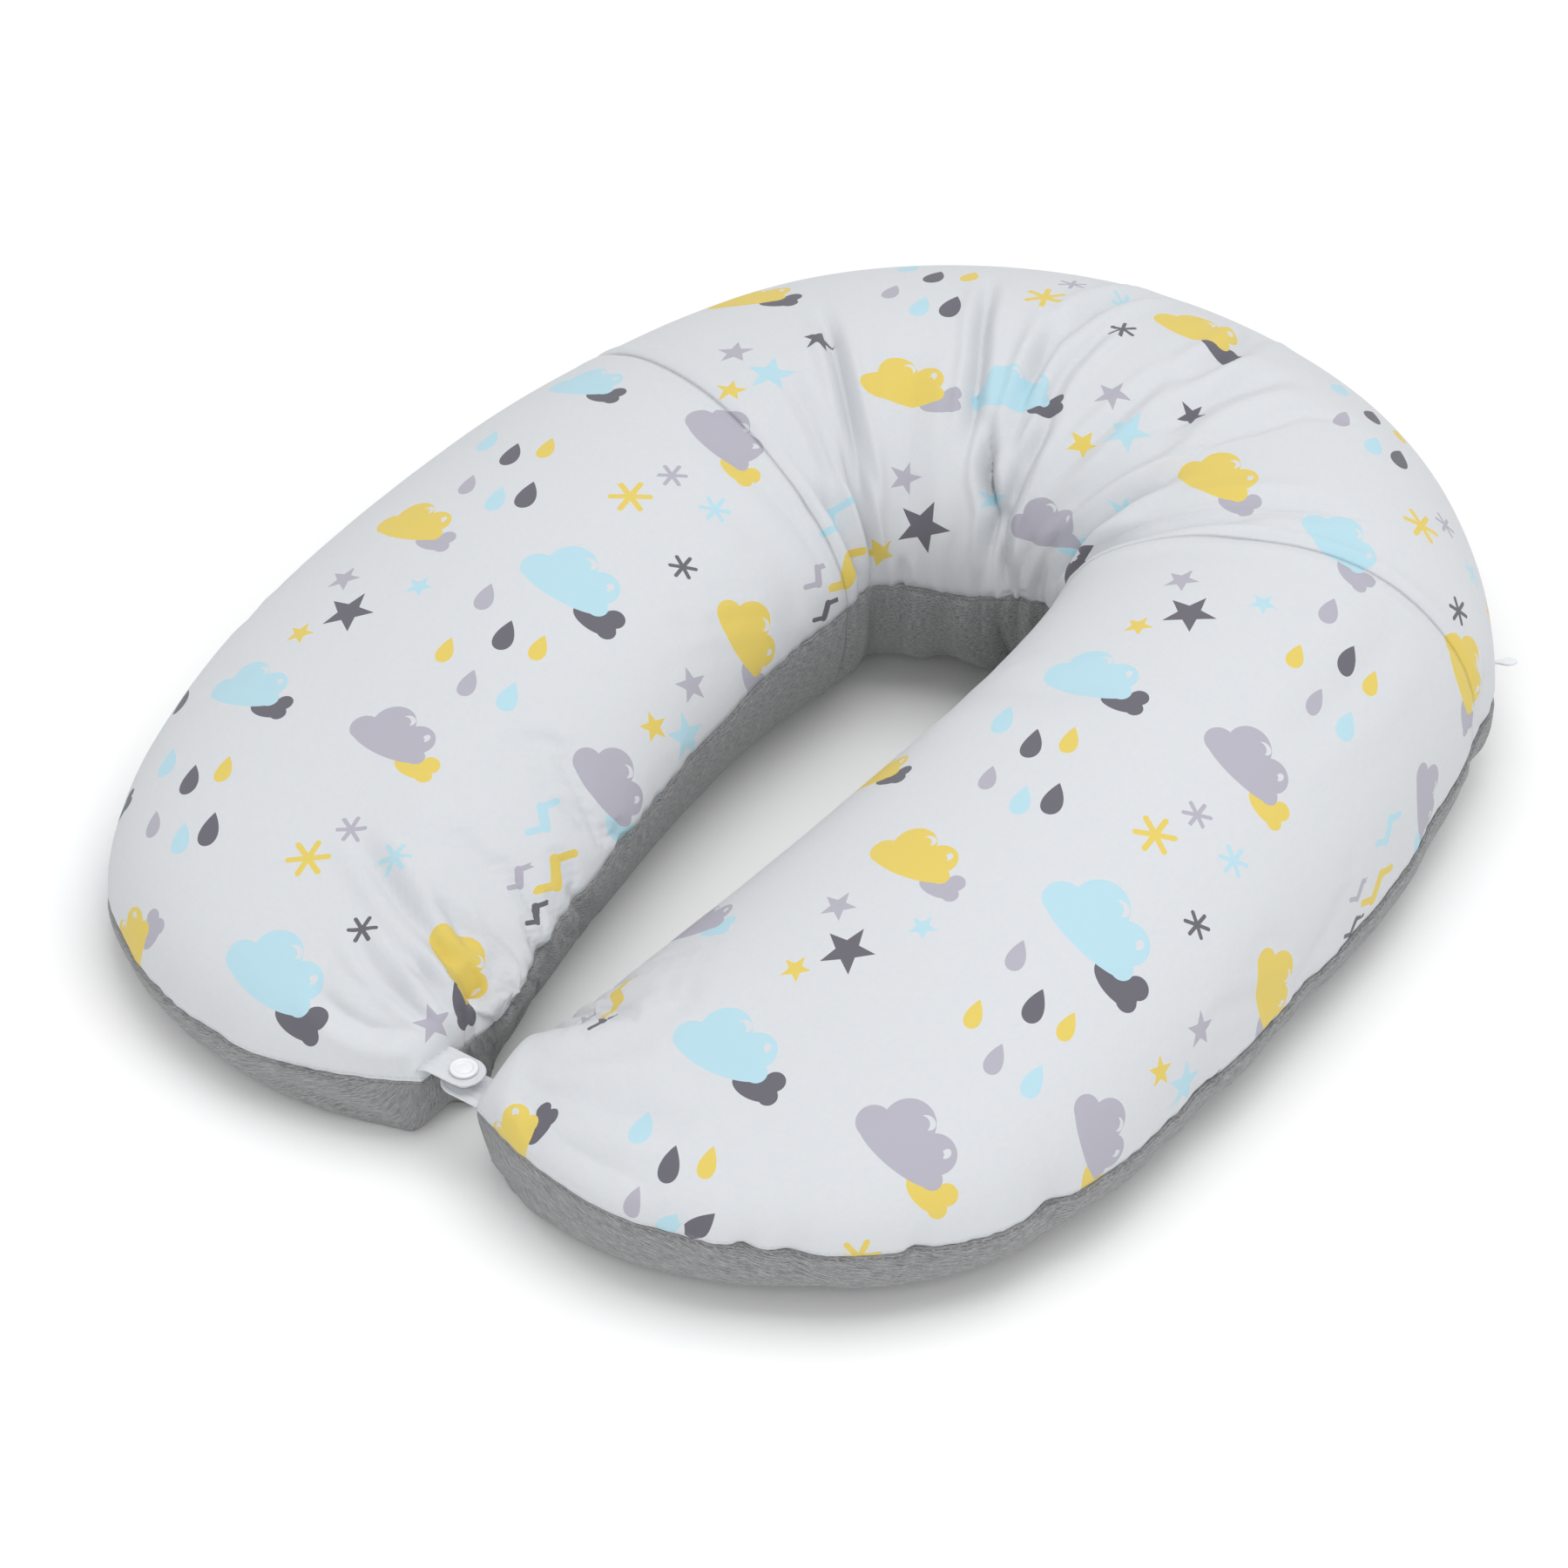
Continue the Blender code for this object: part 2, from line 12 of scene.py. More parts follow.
import bpy
import numpy as np
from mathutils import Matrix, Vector


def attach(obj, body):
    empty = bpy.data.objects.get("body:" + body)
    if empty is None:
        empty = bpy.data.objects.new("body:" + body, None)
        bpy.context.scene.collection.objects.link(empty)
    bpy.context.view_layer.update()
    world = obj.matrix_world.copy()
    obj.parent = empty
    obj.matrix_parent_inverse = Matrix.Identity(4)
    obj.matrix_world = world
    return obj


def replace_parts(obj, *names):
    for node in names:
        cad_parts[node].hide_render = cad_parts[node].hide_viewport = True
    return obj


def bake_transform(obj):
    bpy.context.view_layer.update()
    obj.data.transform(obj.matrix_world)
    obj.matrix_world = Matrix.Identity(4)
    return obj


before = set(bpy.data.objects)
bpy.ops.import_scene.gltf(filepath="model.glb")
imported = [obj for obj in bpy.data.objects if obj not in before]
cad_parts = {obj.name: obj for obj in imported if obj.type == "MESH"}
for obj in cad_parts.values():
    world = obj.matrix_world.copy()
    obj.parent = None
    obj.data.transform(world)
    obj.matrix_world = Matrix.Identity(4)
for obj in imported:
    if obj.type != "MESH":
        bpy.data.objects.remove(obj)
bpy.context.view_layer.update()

# Cross sections of the ring, the same as the CAD solids have:
# outer x, outer y, inner x, inner y, outer seam height, inner seam height, crest height.
LEFT_ARM = (
    (-0.021, -0.338, -0.015, -0.288, 0.046, 0.052, 0.072),
    (-0.092, -0.362, -0.015, -0.262, 0.038, 0.060, 0.080),
    (-0.177, -0.354, -0.019, -0.232, 0.034, 0.066, 0.092),
    (-0.257, -0.302, -0.024, -0.189, 0.034, 0.072, 0.108),
    (-0.297, -0.204, -0.029, -0.139, 0.034, 0.078, 0.124),
    (-0.305, -0.094, -0.035, -0.079, 0.038, 0.084, 0.142),
    (-0.297, 0.026, -0.037, -0.004, 0.045, 0.090, 0.154),
)
# Bend: angle of the outer point round the bend's centre, inner x, inner y, inner seam, crest.
BEND = (
    (-79.0, -0.034, 0.052, 0.092, 0.158),
    (-55.0, -0.038, 0.078, 0.088, 0.162),
    (-30.0, -0.026, 0.096, 0.082, 0.166),
    (-5.0, -0.002, 0.108, 0.080, 0.170),
    (20.0, 0.021, 0.120, 0.082, 0.173),
    (40.0, 0.041, 0.126, 0.084, 0.175),
    (55.0, 0.053, 0.117, 0.084, 0.175),
)
RIGHT_ARM = (
    (0.273, 0.192, 0.061, 0.102, 0.049, 0.083, 0.174),
    (0.295, 0.086, 0.065, 0.026, 0.044, 0.078, 0.171),
    (0.304, -0.044, 0.058, -0.054, 0.043, 0.070, 0.160),
    (0.301, -0.179, 0.044, -0.129, 0.045, 0.060, 0.140),
    (0.265, -0.284, 0.031, -0.189, 0.047, 0.056, 0.115),
    (0.183, -0.347, 0.023, -0.234, 0.050, 0.054, 0.094),
    (0.098, -0.364, 0.018, -0.266, 0.050, 0.052, 0.082),
    (0.015, -0.340, 0.013, -0.296, 0.048, 0.050, 0.074),
)
BEND_CENTRE = (0.015, 0.070)
BEND_RADIUS = 0.294
BEND_SEAM_HEIGHT = 0.055
LEFT_SEAM = len(LEFT_ARM)
RIGHT_SEAM = LEFT_SEAM + len(BEND)
RING_END = RIGHT_SEAM + len(RIGHT_ARM) - 1
TOP_FULLNESS = 0.85
BOTTOM_FULLNESS = 0.6
BOTTOM_FLATTENING = 1.12
END_ROUNDING = 0.35

# Rows of the mesh along each stretch, and columns across a panel.
ARM_ROWS = 100
BEND_ROWS = 124
COLUMNS = 56
END_CROWDING = 1.35
EDGE_CROWDING = 0.10

# Cloth simulation of the whole ring.
CLOTH_FRAMES = 20
CLOTH_PRESSURE = 4.0
CLOTH_CAP = 0.009
OPENING = 0.10  # share of the ring's turning that the sewn pattern lacks, so the inner side gathers
NEUTRAL_SHARE = 0.30  # where across the ring the pattern and the bent ring are equally long
SLOW_SHARE = 0.9  # how much of the simulation's slow part is taken out again
SLOW_ROUNDS = 90
SEAM_EASING = 0.07  # how far from the outer seam the simulated movement reaches its full size
SEAM_KEEP = 0.25

COTTON_THICKNESS = 0.0008
ZIP_LIP = 0.0020
ZIP_MARGIN = 9.0
ZIP_CLOSED_ANGLE = 51.0
ZIP_OPEN_ANGLE = -49.0
ZIP_CHAIN_INSET = 0.0053
COIL_PITCH = 0.0016

CASE_INSET = 0.0035
CASE_THICKNESS = 0.0005
FILLING_INSET = 0.0065

TAB_WIDTH = 0.022
TAB_LENGTH = 0.026
TAB_THICKNESS = 0.002
TAB_TAIL = 0.008
TAB_Y = -0.327
LEFT_TAB_ROOT = -0.0165
LEFT_TAB_HEIGHT = 0.0555
RIGHT_TAB_ROOT = 0.0115
RIGHT_TAB_HEIGHT = 0.0475
SNAP_X = -0.002


def solve_spline(values):
    """Second derivatives of the natural cubic spline through rows at 0, 1, 2, ..."""
    count = len(values)
    system = np.eye(count)
    right = np.zeros_like(values)
    for row in range(1, count - 1):
        system[row, row - 1 : row + 2] = (1.0, 4.0, 1.0)
        right[row] = 6.0 * (values[row - 1] - 2.0 * values[row] + values[row + 1])
    return np.linalg.solve(system, right)


def bend_point(angle, inset=0.0):
    turn = math.radians(angle)
    reach = BEND_RADIUS - inset
    return BEND_CENTRE[0] + reach * math.sin(turn), BEND_CENTRE[1] + reach * math.cos(turn)


def ring_stations():
    bend = [(*bend_point(row[0]), *row[1:3], BEND_SEAM_HEIGHT, *row[3:5]) for row in BEND]
    return np.array([*LEFT_ARM, *bend, *RIGHT_ARM])


STATIONS = ring_stations()
STATION_CURVATURE = solve_spline(STATIONS)


def station(at):
    """Smoothly interpolated cross-section values at any place along the ring."""
    start = min(max(int(math.floor(at)), 0), len(STATIONS) - 2)
    after = at - start
    before = 1.0 - after
    bend = (before**3 - before) * STATION_CURVATURE[start]
    bend = bend + (after**3 - after) * STATION_CURVATURE[start + 1]
    return before * STATIONS[start] + after * STATIONS[start + 1] + bend / 6.0


def section_points(at, turns, upper, inset=0.0):
    """Points of one side of a cross section; turns run from 0 at the outer seam to pi."""
    values = station(at)
    slope = station(at + 0.01) - station(at - 0.01)
    outer = values[0:2] + inset * right_of(slope[0:2])
    inner = values[2:4] - inset * right_of(slope[2:4])
    share = (1.0 - np.cos(turns)) / 2.0
    lift = np.clip(np.sin(turns), 0.0, 1.0)
    plan = outer + (inner - outer) * share[:, None]
    seam = values[4] + (values[5] - values[4]) * share
    closing = min(max(min(at, RING_END - at) / END_ROUNDING, 0.0), 1.0)
    keep = math.sqrt(1.0 - (1.0 - closing) ** 2)
    if upper:
        height = seam + (values[6] - inset - seam) * lift**TOP_FULLNESS * keep
    else:
        flat = np.minimum(1.0, BOTTOM_FLATTENING * lift**BOTTOM_FULLNESS)
        height = seam - (seam - inset) * flat * keep
    return np.column_stack((plan, height))


def right_of(direction):
    return np.array((direction[1], -direction[0])) / np.linalg.norm(direction)


def path_lengths(points):
    """Distance along the first axis of an array of points."""
    steps = np.linalg.norm(np.diff(points, axis=0), axis=-1)
    return np.concatenate((np.zeros((1, *steps.shape[1:])), np.cumsum(steps, axis=0)))


FINE_TURNS = np.linspace(0.0, math.pi, 241)


def even_section(at, upper, inset):
    """One side of a cross section, its points nearly even but closer towards both seams."""
    along = path_lengths(section_points(at, FINE_TURNS, upper, inset))
    share = np.linspace(0.0, 1.0, COLUMNS + 1)
    wanted = along[-1] * (share - EDGE_CROWDING * np.sin(2.0 * math.pi * share))
    return section_points(at, np.interp(wanted, along, FINE_TURNS), upper, inset)


def row_places():
    """Places of the mesh's rows along the ring, closer towards the two ends."""
    share = np.linspace(0.0, 1.0, ARM_ROWS + 1) ** END_CROWDING
    left = LEFT_SEAM * share
    bend = np.linspace(LEFT_SEAM, RIGHT_SEAM, BEND_ROWS + 1)
    right = RING_END - (RING_END - RIGHT_SEAM) * share[::-1]
    return np.concatenate((left, bend[1:], right[1:]))


ROWS = row_places()
LEFT_SEAM_ROW = ARM_ROWS
RIGHT_SEAM_ROW = ARM_ROWS + BEND_ROWS


def ring_grid(upper, inset=0.0):
    """Points (row, column, xyz) of one side of the ring."""
    return np.array([even_section(at, upper, inset) for at in ROWS])


def grid_normals(grid, upper):
    along = np.gradient(grid, axis=0)
    across = np.gradient(grid, axis=1)
    normals = np.cross(across, along) if upper else np.cross(along, across)
    lengths = np.linalg.norm(normals, axis=2, keepdims=True)
    return normals / np.maximum(lengths, 1e-9)


# Shape of a crease, in its own widths and depths.
VALLEY_SHARPNESS = 1.45
RIDGE_SHARE = 0.45
RIDGE_LIMIT = 0.0035
RIDGE_PLACE = 1.9
RIDGE_SPREAD = 0.8
CREASE_FADE = 0.30
CREASE_PINCH = 0.35
# Creases of the printed top: width mm, depth mm, then the places that its line runs through.
TOP_CREASES = (
    # Bend: gathers running out from the inner seam.
    (4.5, 13.0, ((8.10, 0.40), (8.10, 0.58), (8.10, 0.73), (8.10, 0.86))),
    (4.0, 12.0, ((7.85, 0.62), (7.90, 0.76), (8.00, 0.87), (8.15, 1.02))),
    (4.5, 14.0, ((9.10, 0.34), (9.20, 0.50), (9.35, 0.62), (9.60, 0.78))),
    (4.0, 22.0, ((9.50, 0.64), (9.90, 0.77), (10.30, 0.84), (10.80, 1.03))),
    (4.0, 15.0, ((10.05, 0.68), (10.40, 0.82), (10.80, 0.92), (11.20, 1.03))),
    (4.0, 10.0, ((10.10, 0.58), (10.30, 0.72), (10.50, 0.80), (10.70, 0.90))),
    (3.5, 5.0, ((11.75, 0.84), (11.80, 1.02))),
    (5.0, 8.0, ((9.60, 0.42), (9.80, 0.60), (10.00, 0.73))),
    (5.0, 8.0, ((10.00, 0.42), (10.00, 0.57), (10.10, 0.70))),
    (6.5, 8.0, ((10.00, 0.24), (9.80, 0.43), (9.80, 0.64))),
    (6.0, 4.0, ((11.50, 0.54), (11.50, 0.70), (11.55, 0.86))),
    (6.0, 12.0, ((11.90, 0.58), (12.40, 0.82), (12.55, 1.02))),
    (8.0, 4.0, ((13.10, 0.38), (13.25, 0.66), (13.20, 0.92))),
    (6.0, 7.0, ((13.60, 0.50), (13.75, 0.70), (13.45, 0.94))),
    (8.0, 4.0, ((8.75, 0.52), (8.80, 0.72), (8.90, 0.94))),
    (5.0, 7.0, ((7.30, 0.70), (7.40, 0.86), (7.55, 1.02))),
    (5.0, 4.0, ((7.60, 0.50), (7.62, 0.66), (7.60, 0.80))),
    (5.0, 4.0, ((10.60, 0.45), (10.75, 0.62), (10.90, 0.80))),
    (7.0, 7.0, ((10.45, 0.24), (10.70, 0.38), (10.85, 0.55))),
    (8.0, 7.0, ((11.10, 0.34), (11.10, 0.50), (11.35, 0.66))),
    # Cross seams, drawn in by their stitching.
    (3.5, 2.6, ((7.0, -0.1), (7.0, 0.2), (7.0, 0.5), (7.0, 0.8), (7.0, 1.1))),
    (3.5, 2.6, ((14.0, -0.1), (14.0, 0.2), (14.0, 0.5), (14.0, 0.8), (14.0, 1.1))),
    # Left arm, drawn towards its tab and along the cross seam.
    (6.0, 9.0, ((2.90, 0.50), (2.40, 0.55), (1.40, 0.62), (0.40, 0.71), (0.02, 0.60))),
    (6.0, 4.5, ((2.20, 0.64), (1.60, 0.68), (0.90, 0.73), (0.05, 0.80))),
    (4.5, 6.0, ((1.90, 0.48), (0.90, 0.46), (0.05, 0.44))),
    (4.0, 6.0, ((1.50, 0.56), (0.60, 0.53), (0.05, 0.53))),
    (7.0, 5.0, ((1.40, 0.33), (0.60, 0.27), (0.05, 0.36))),
    (8.0, 4.0, ((1.60, 0.76), (0.90, 0.80), (0.05, 0.62))),
    (6.0, 3.5, ((1.50, 0.40), (0.80, 0.41), (0.05, 0.44))),
    (8.0, 3.0, ((6.60, 0.50), (6.75, 0.72), (6.80, 0.96))),
    (10.0, 2.5, ((6.20, 0.62), (6.35, 0.80), (6.30, 0.98))),
    # Right arm, drawn towards its tab.
    (10.0, 3.0, ((20.95, 0.50), (19.70, 0.56), (18.40, 0.58))),
    (10.0, 3.5, ((20.95, 0.40), (19.80, 0.38), (18.90, 0.36))),
    (9.0, 3.0, ((20.90, 0.30), (20.10, 0.22), (19.30, 0.16))),
    (12.0, 3.0, ((14.10, 0.26), (14.80, 0.27), (15.40, 0.31))),
    (12.0, 2.5, ((15.50, 0.86), (15.60, 0.66), (15.50, 0.50))),
)
# Creases of the jersey, mostly down the wall under the inner seam.
BOTTOM_CREASES = (
    (8.0, 6.0, ((8.10, 1.02), (8.20, 0.90), (8.20, 0.76))),
    (9.0, 4.0, ((8.80, 1.02), (8.70, 0.90), (8.60, 0.78))),
    (7.0, 5.0, ((9.60, 1.02), (9.50, 0.92), (9.60, 0.80))),
    (8.0, 9.0, ((10.80, 1.02), (10.85, 0.90), (10.70, 0.76))),
    (7.0, 6.0, ((11.25, 1.02), (11.20, 0.90), (11.40, 0.80))),
    (7.0, 5.0, ((11.80, 1.02), (11.90, 0.92), (11.80, 0.84))),
    (8.0, 5.0, ((12.50, 1.02), (12.60, 0.90), (12.50, 0.80))),
    (4.0, 2.6, ((7.0, 1.1), (7.0, 0.9), (7.0, 0.5), (7.0, 0.1), (7.0, -0.1))),
    (4.0, 2.6, ((14.0, 1.1), (14.0, 0.9), (14.0, 0.5), (14.0, 0.1), (14.0, -0.1))),
    (9.0, 4.0, ((1.20, 0.98), (0.60, 0.92), (0.10, 0.80))),
    (9.0, 4.0, ((1.40, 0.04), (0.70, 0.10), (0.10, 0.25))),
    (8.0, 3.0, ((20.30, 0.02), (20.60, 0.12), (20.90, 0.30))),
)
# Short gathers along the bend's inner seam: first and last place, how many, how far they reach.
INNER_GATHERS = (7.35, 13.60, 9, 0.10)
# Dents of the outer seam, where the stitching has drawn the cloth in: place, width mm, depth mm.
SEAM_DENTS = (
    (0.9, 22.0, 1.5),
    (1.6, 14.0, 1.5),
    (2.5, 20.0, 1.2),
    (3.3, 16.0, 1.5),
    (4.6, 22.0, 1.5),
    (5.9, 18.0, 1.5),
    (7.6, 20.0, 1.2),
    (12.9, 18.0, 1.2),
    (14.5, 20.0, 1.2),
    (15.9, 20.0, 1.5),
    (16.5, 14.0, 2.0),
    (17.4, 9.0, 5.0),
    (18.1, 7.0, 4.5),
    (18.7, 7.0, 3.5),
    (18.95, 6.0, 5.0),
    (19.4, 14.0, 2.0),
    (20.1, 14.0, 1.5),
)


def surface_line(points, upper, count=24):
    """Points on the smooth surface along a line given by the places of its corners."""
    corners = np.array(points, float)
    at = np.linspace(0.0, len(corners) - 1.0, count)
    along = np.clip(np.interp(at, range(len(corners)), corners[:, 0]), 0.0, RING_END)
    across = np.clip(np.interp(at, range(len(corners)), corners[:, 1]), 0.0, 1.0)
    turns = math.pi * across
    return np.array([section_points(u, turns[row : row + 1], upper)[0] for row, u in enumerate(along)])


def crease(surface, normals, line, width, depth):
    """Movement of a surface pressed into a soft valley along a line, with a low ridge beside it."""
    moved = np.zeros_like(surface)
    low = line.min(axis=0) - 4 * width
    high = line.max(axis=0) + 4 * width
    near = np.all((surface > low) & (surface < high), axis=2)
    points = surface[near]
    spans = line[1:] - line[:-1]
    offset = points[:, None, :] - line[None, :-1]
    share = np.einsum("psk,sk->ps", offset, spans) / np.maximum((spans**2).sum(axis=1), 1e-12)
    share = np.clip(share, 0.0, 1.0)
    gap = offset - share[..., None] * spans
    distance = np.linalg.norm(gap, axis=2)
    best = distance.argmin(axis=1)
    picked = np.arange(len(points))
    reach = distance[picked, best] / width
    place = (best + share[picked, best]) / len(spans)
    fade = np.clip(np.minimum(place, 1.0 - place) / CREASE_FADE, 0.0, 1.0)
    fade = fade * fade * (3.0 - 2.0 * fade)
    valley = np.exp(-VALLEY_SHARPNESS * reach) * (1.0 - 0.25 * np.exp(-((4.0 * reach) ** 2)))
    ridge = min(RIDGE_SHARE, RIDGE_LIMIT / depth)
    ridge = ridge * np.exp(-(((reach - RIDGE_PLACE) / RIDGE_SPREAD) ** 2))
    lift = normals[near] * ((ridge - valley) * fade * depth)[:, None]
    pinch = gap[picked, best] * (valley * fade * CREASE_PINCH)[:, None]
    moved[near] = lift - pinch
    return moved


def inner_gathers():
    """Small folds standing off the bend's inner seam, uneven in length and lean."""
    first, last, count, reach = INNER_GATHERS
    for number, at in enumerate(np.linspace(first, last, count)):
        uneven = math.sin(2.7 * number)
        depth = 1.8 + 0.9 * math.sin(4.1 * number)
        end = 1.0 - reach * (1.0 + 0.45 * uneven)
        yield 3.2, depth, ((at, 1.05), (at + 0.10 * uneven, end))


def pressed(surface, normals, creases, upper):
    """Movement of the surface under all of its creases."""
    moved = np.zeros_like(surface)
    for width, depth, points in creases:
        line = surface_line(points, upper)
        moved += crease(surface, normals, line, width / 1000.0, depth / 1000.0)
    return moved


def along_zip(grid):
    """For each row of the ring, 1 where the outer seam holds the zip and 0 elsewhere."""
    x = grid[:, :1, 0] - BEND_CENTRE[0]
    y = grid[:, :1, 1] - BEND_CENTRE[1]
    angles = np.degrees(np.arctan2(x, y))
    inside = np.minimum(angles - ZIP_OPEN_ANGLE, ZIP_CLOSED_ANGLE - angles) + ZIP_MARGIN
    return np.clip(inside / 4.0, 0.0, 1.0)


def seam_movement(surface, places):
    """Movement near both seams: fine gathers of the stitching, slow waves and the listed dents."""
    out = surface[:, :1] - surface[:, -1:]
    out[..., 2] = 0.0
    out = out / np.linalg.norm(out, axis=2, keepdims=True)
    across = path_lengths(surface.swapaxes(0, 1)).T
    zipped = along_zip(surface)
    moved = np.zeros_like(surface)
    for column, direction, gap in ((0, 1.0, across), (-1, -1.0, across[:, -1:] - across)):
        along = path_lengths(surface[:, column])[:, None] * 100.0
        uneven = 0.7 * (0.6 + 0.4 * np.sin(0.47 * along))
        fine = uneven * np.sin(4.6 * along + 1.4 * np.sin(0.83 * along))
        slow = np.sin(0.61 * along + 2.0 * np.sin(0.13 * along)) + 0.6 * np.sin(1.37 * along)
        wave = 0.0007 * fine * np.exp(-gap / 0.008) + 0.0006 * slow * np.exp(-gap / 0.025)
        wave = wave - 0.0014 * np.exp(-((gap / 0.0025) ** 2))
        if column == 0:
            wave = np.maximum(wave, 0.0) * zipped + wave * (1.0 - zipped)
        moved += wave[..., None] * out * direction
    outer = surface[:, :1]
    for at, width, depth in SEAM_DENTS:
        spot = section_points(at, np.array([0.0]), True)[0]
        gap = np.linalg.norm(outer - spot, axis=2) * 1000.0 / width
        fall = np.exp(-across / (width / 600.0))
        moved -= (np.exp(-(gap**2)) * fall * depth / 1000.0)[..., None] * out
    closing = np.clip(np.minimum(places, RING_END - places) / 0.5, 0.0, 1.0)
    return moved * closing[:, None, None]


def opened(grid, segments):
    """The grid laid out with less turning from row to row, as the flat pattern has it."""
    outer, inner = segments
    neutral = outer + (inner - outer) * NEUTRAL_SHARE
    heading = np.unwrap(np.arctan2((inner - outer)[:, 1], (inner - outer)[:, 0]))
    turned = heading * (1.0 - OPENING)
    place = [neutral[0]]
    for row in range(1, len(neutral)):
        step = neutral[row] - neutral[row - 1]
        angle = (turned[row] - heading[row] + turned[row - 1] - heading[row - 1]) / 2.0
        place.append(place[-1] + rotated(step[None], np.array([angle]))[0])
    laid = grid.copy()
    for row in range(len(neutral)):
        flat = grid[row, :, :2] - neutral[row]
        angle = np.full(len(flat), turned[row] - heading[row])
        laid[row, :, :2] = rotated(flat, angle) + place[row]
    return laid


def rotated(vectors, angles):
    cosine, sine = np.cos(angles), np.sin(angles)
    x, y = vectors[:, 0], vectors[:, 1]
    return np.column_stack((x * cosine - y * sine, x * sine + y * cosine))


def ring_indices(rows, columns):
    """Vertex numbers of the top and bottom grids, shared along the seams and at the two ends."""
    top = np.arange(rows * columns).reshape(rows, columns)
    bottom = top.copy()
    inside = rows * columns + np.arange((rows - 2) * (columns - 2))
    bottom[1:-1, 1:-1] = inside.reshape(rows - 2, columns - 2)
    return top, bottom


def quads(index, flipped):
    corners = (index[:-1, :-1], index[:-1, 1:], index[1:, 1:], index[1:, :-1])
    faces = np.stack([corner.ravel() for corner in corners], axis=1)
    return faces[:, ::-1] if flipped else faces


def welded(top, bottom):
    """One list of points from the two grids."""
    inside = bottom[1:-1, 1:-1].reshape(-1, 3)
    return np.concatenate((top.reshape(-1, 3), inside))


def simulate(top, bottom, rest_top, rest_bottom):
    """Inflates the ring as cloth cut to the opened pattern, and returns both grids moved."""
    top_index, bottom_index = ring_indices(*top.shape[:2])
    points = welded(top, bottom)
    faces = np.concatenate((quads(top_index, False), quads(bottom_index, True)))
    mesh = bpy.data.meshes.new("ring")
    mesh.from_pydata(points.tolist(), [], faces.tolist())
    ring = bpy.data.objects.new("ring", mesh)
    bpy.context.scene.collection.objects.link(ring)
    ring.shape_key_add(name="Basis")
    pattern = ring.shape_key_add(name="pattern")
    pattern.data.foreach_set("co", welded(rest_top, rest_bottom).ravel())
    pattern.value = 0.0
    cloth = ring.modifiers.new("cloth", "CLOTH")
    settings = cloth.settings
    settings.quality = 5
    settings.mass = 0.12
    settings.tension_stiffness = 20.0
    settings.compression_stiffness = 20.0
    settings.shear_stiffness = 5.0
    settings.bending_stiffness = 0.15
    settings.air_damping = 3.0
    settings.use_pressure = True
    settings.uniform_pressure_force = CLOTH_PRESSURE
    settings.rest_shape_key = pattern
    settings.effector_weights.gravity = 0.0
    cloth.collision_settings.use_collision = False
    cloth.point_cache.frame_start = 1
    cloth.point_cache.frame_end = CLOTH_FRAMES
    for step in range(1, CLOTH_FRAMES + 1):
        bpy.context.scene.frame_set(step)
    evaluated = ring.evaluated_get(bpy.context.evaluated_depsgraph_get())
    moved = np.zeros(len(points) * 3)
    evaluated.to_mesh().vertices.foreach_get("co", moved)
    moved = moved.reshape(-1, 3)
    evaluated.to_mesh_clear()
    bpy.context.scene.frame_set(1)
    bpy.data.objects.remove(ring)
    bpy.data.meshes.remove(mesh)
    return moved[top_index], moved[bottom_index]


def blurred(field, rounds):
    """The slow part of a field over a grid."""
    for _ in range(rounds):
        padded = np.pad(field, ((1, 1), (1, 1), (0, 0)), mode="edge")
        field = (padded[:-2, 1:-1] + padded[2:, 1:-1] + padded[1:-1, :-2] + padded[1:-1, 2:]) / 4.0
    return field


def kept_creases(moved, start):
    """The simulated movement, its slow part taken out, eased at the outer seam and capped."""
    shift = moved - start
    shift = shift - SLOW_SHARE * blurred(shift, SLOW_ROUNDS)
    from_seam = np.linalg.norm(start - start[:, :1], axis=2, keepdims=True)
    inside = np.clip(from_seam / SEAM_EASING, 0.0, 1.0)
    shift = shift * (inside + SEAM_KEEP * (1.0 - inside) * (1.0 - along_zip(start)[..., None]))
    size = np.linalg.norm(shift, axis=2, keepdims=True)
    return start + shift * np.minimum(1.0, CLOTH_CAP / np.maximum(size, 1e-9))


def refined(grid):
    """Twice as many rows and columns, through every old point, by a four-point scheme."""
    for axis in (0, 1):
        grid = np.moveaxis(grid, axis, 0)
        before = np.concatenate((2 * grid[:1] - grid[1:2], grid[:-2]))
        after = np.concatenate((grid[2:], 2 * grid[-1:] - grid[-2:-1]))
        middle = (9.0 * (grid[:-1] + grid[1:]) - before - after) / 16.0
        dense = np.empty((2 * len(grid) - 1, *grid.shape[1:]))
        dense[0::2] = grid
        dense[1::2] = middle
        grid = np.moveaxis(dense, 0, axis)
    return grid


# --- print of the top fabric -----------------------------------------------------------------

BLUE = (0.455, 0.680, 0.765)
YELLOW = (0.745, 0.575, 0.120)
LILAC = (0.435, 0.425, 0.490)
SLATE = (0.130, 0.125, 0.150)

CLOUD, STAR, DROP, BURST, BOLT = 1, 2, 3, 4, 5
REACH = {CLOUD: 3.9, STAR: 1.1, DROP: 1.15, BURST: 1.15, BOLT: 1.15}
# Ovals that make up a cloud of size 1, and the small cloud behind it: x, y, half width, half height.
CLOUD_LOBES = (
    (-1.62, -0.25, 0.74, 0.74),
    (-0.50, 0.62, 1.08, 1.08),
    (1.12, 0.36, 0.86, 0.86),
    (1.68, -0.52, 0.45, 0.45),
    (-0.05, -0.50, 2.12, 0.78),
)
BEHIND_LOBES = (
    (2.55, -0.52, 0.46, 0.46),
    (2.66, -1.22, 0.41, 0.41),
    (1.95, -1.08, 1.02, 0.58),
)

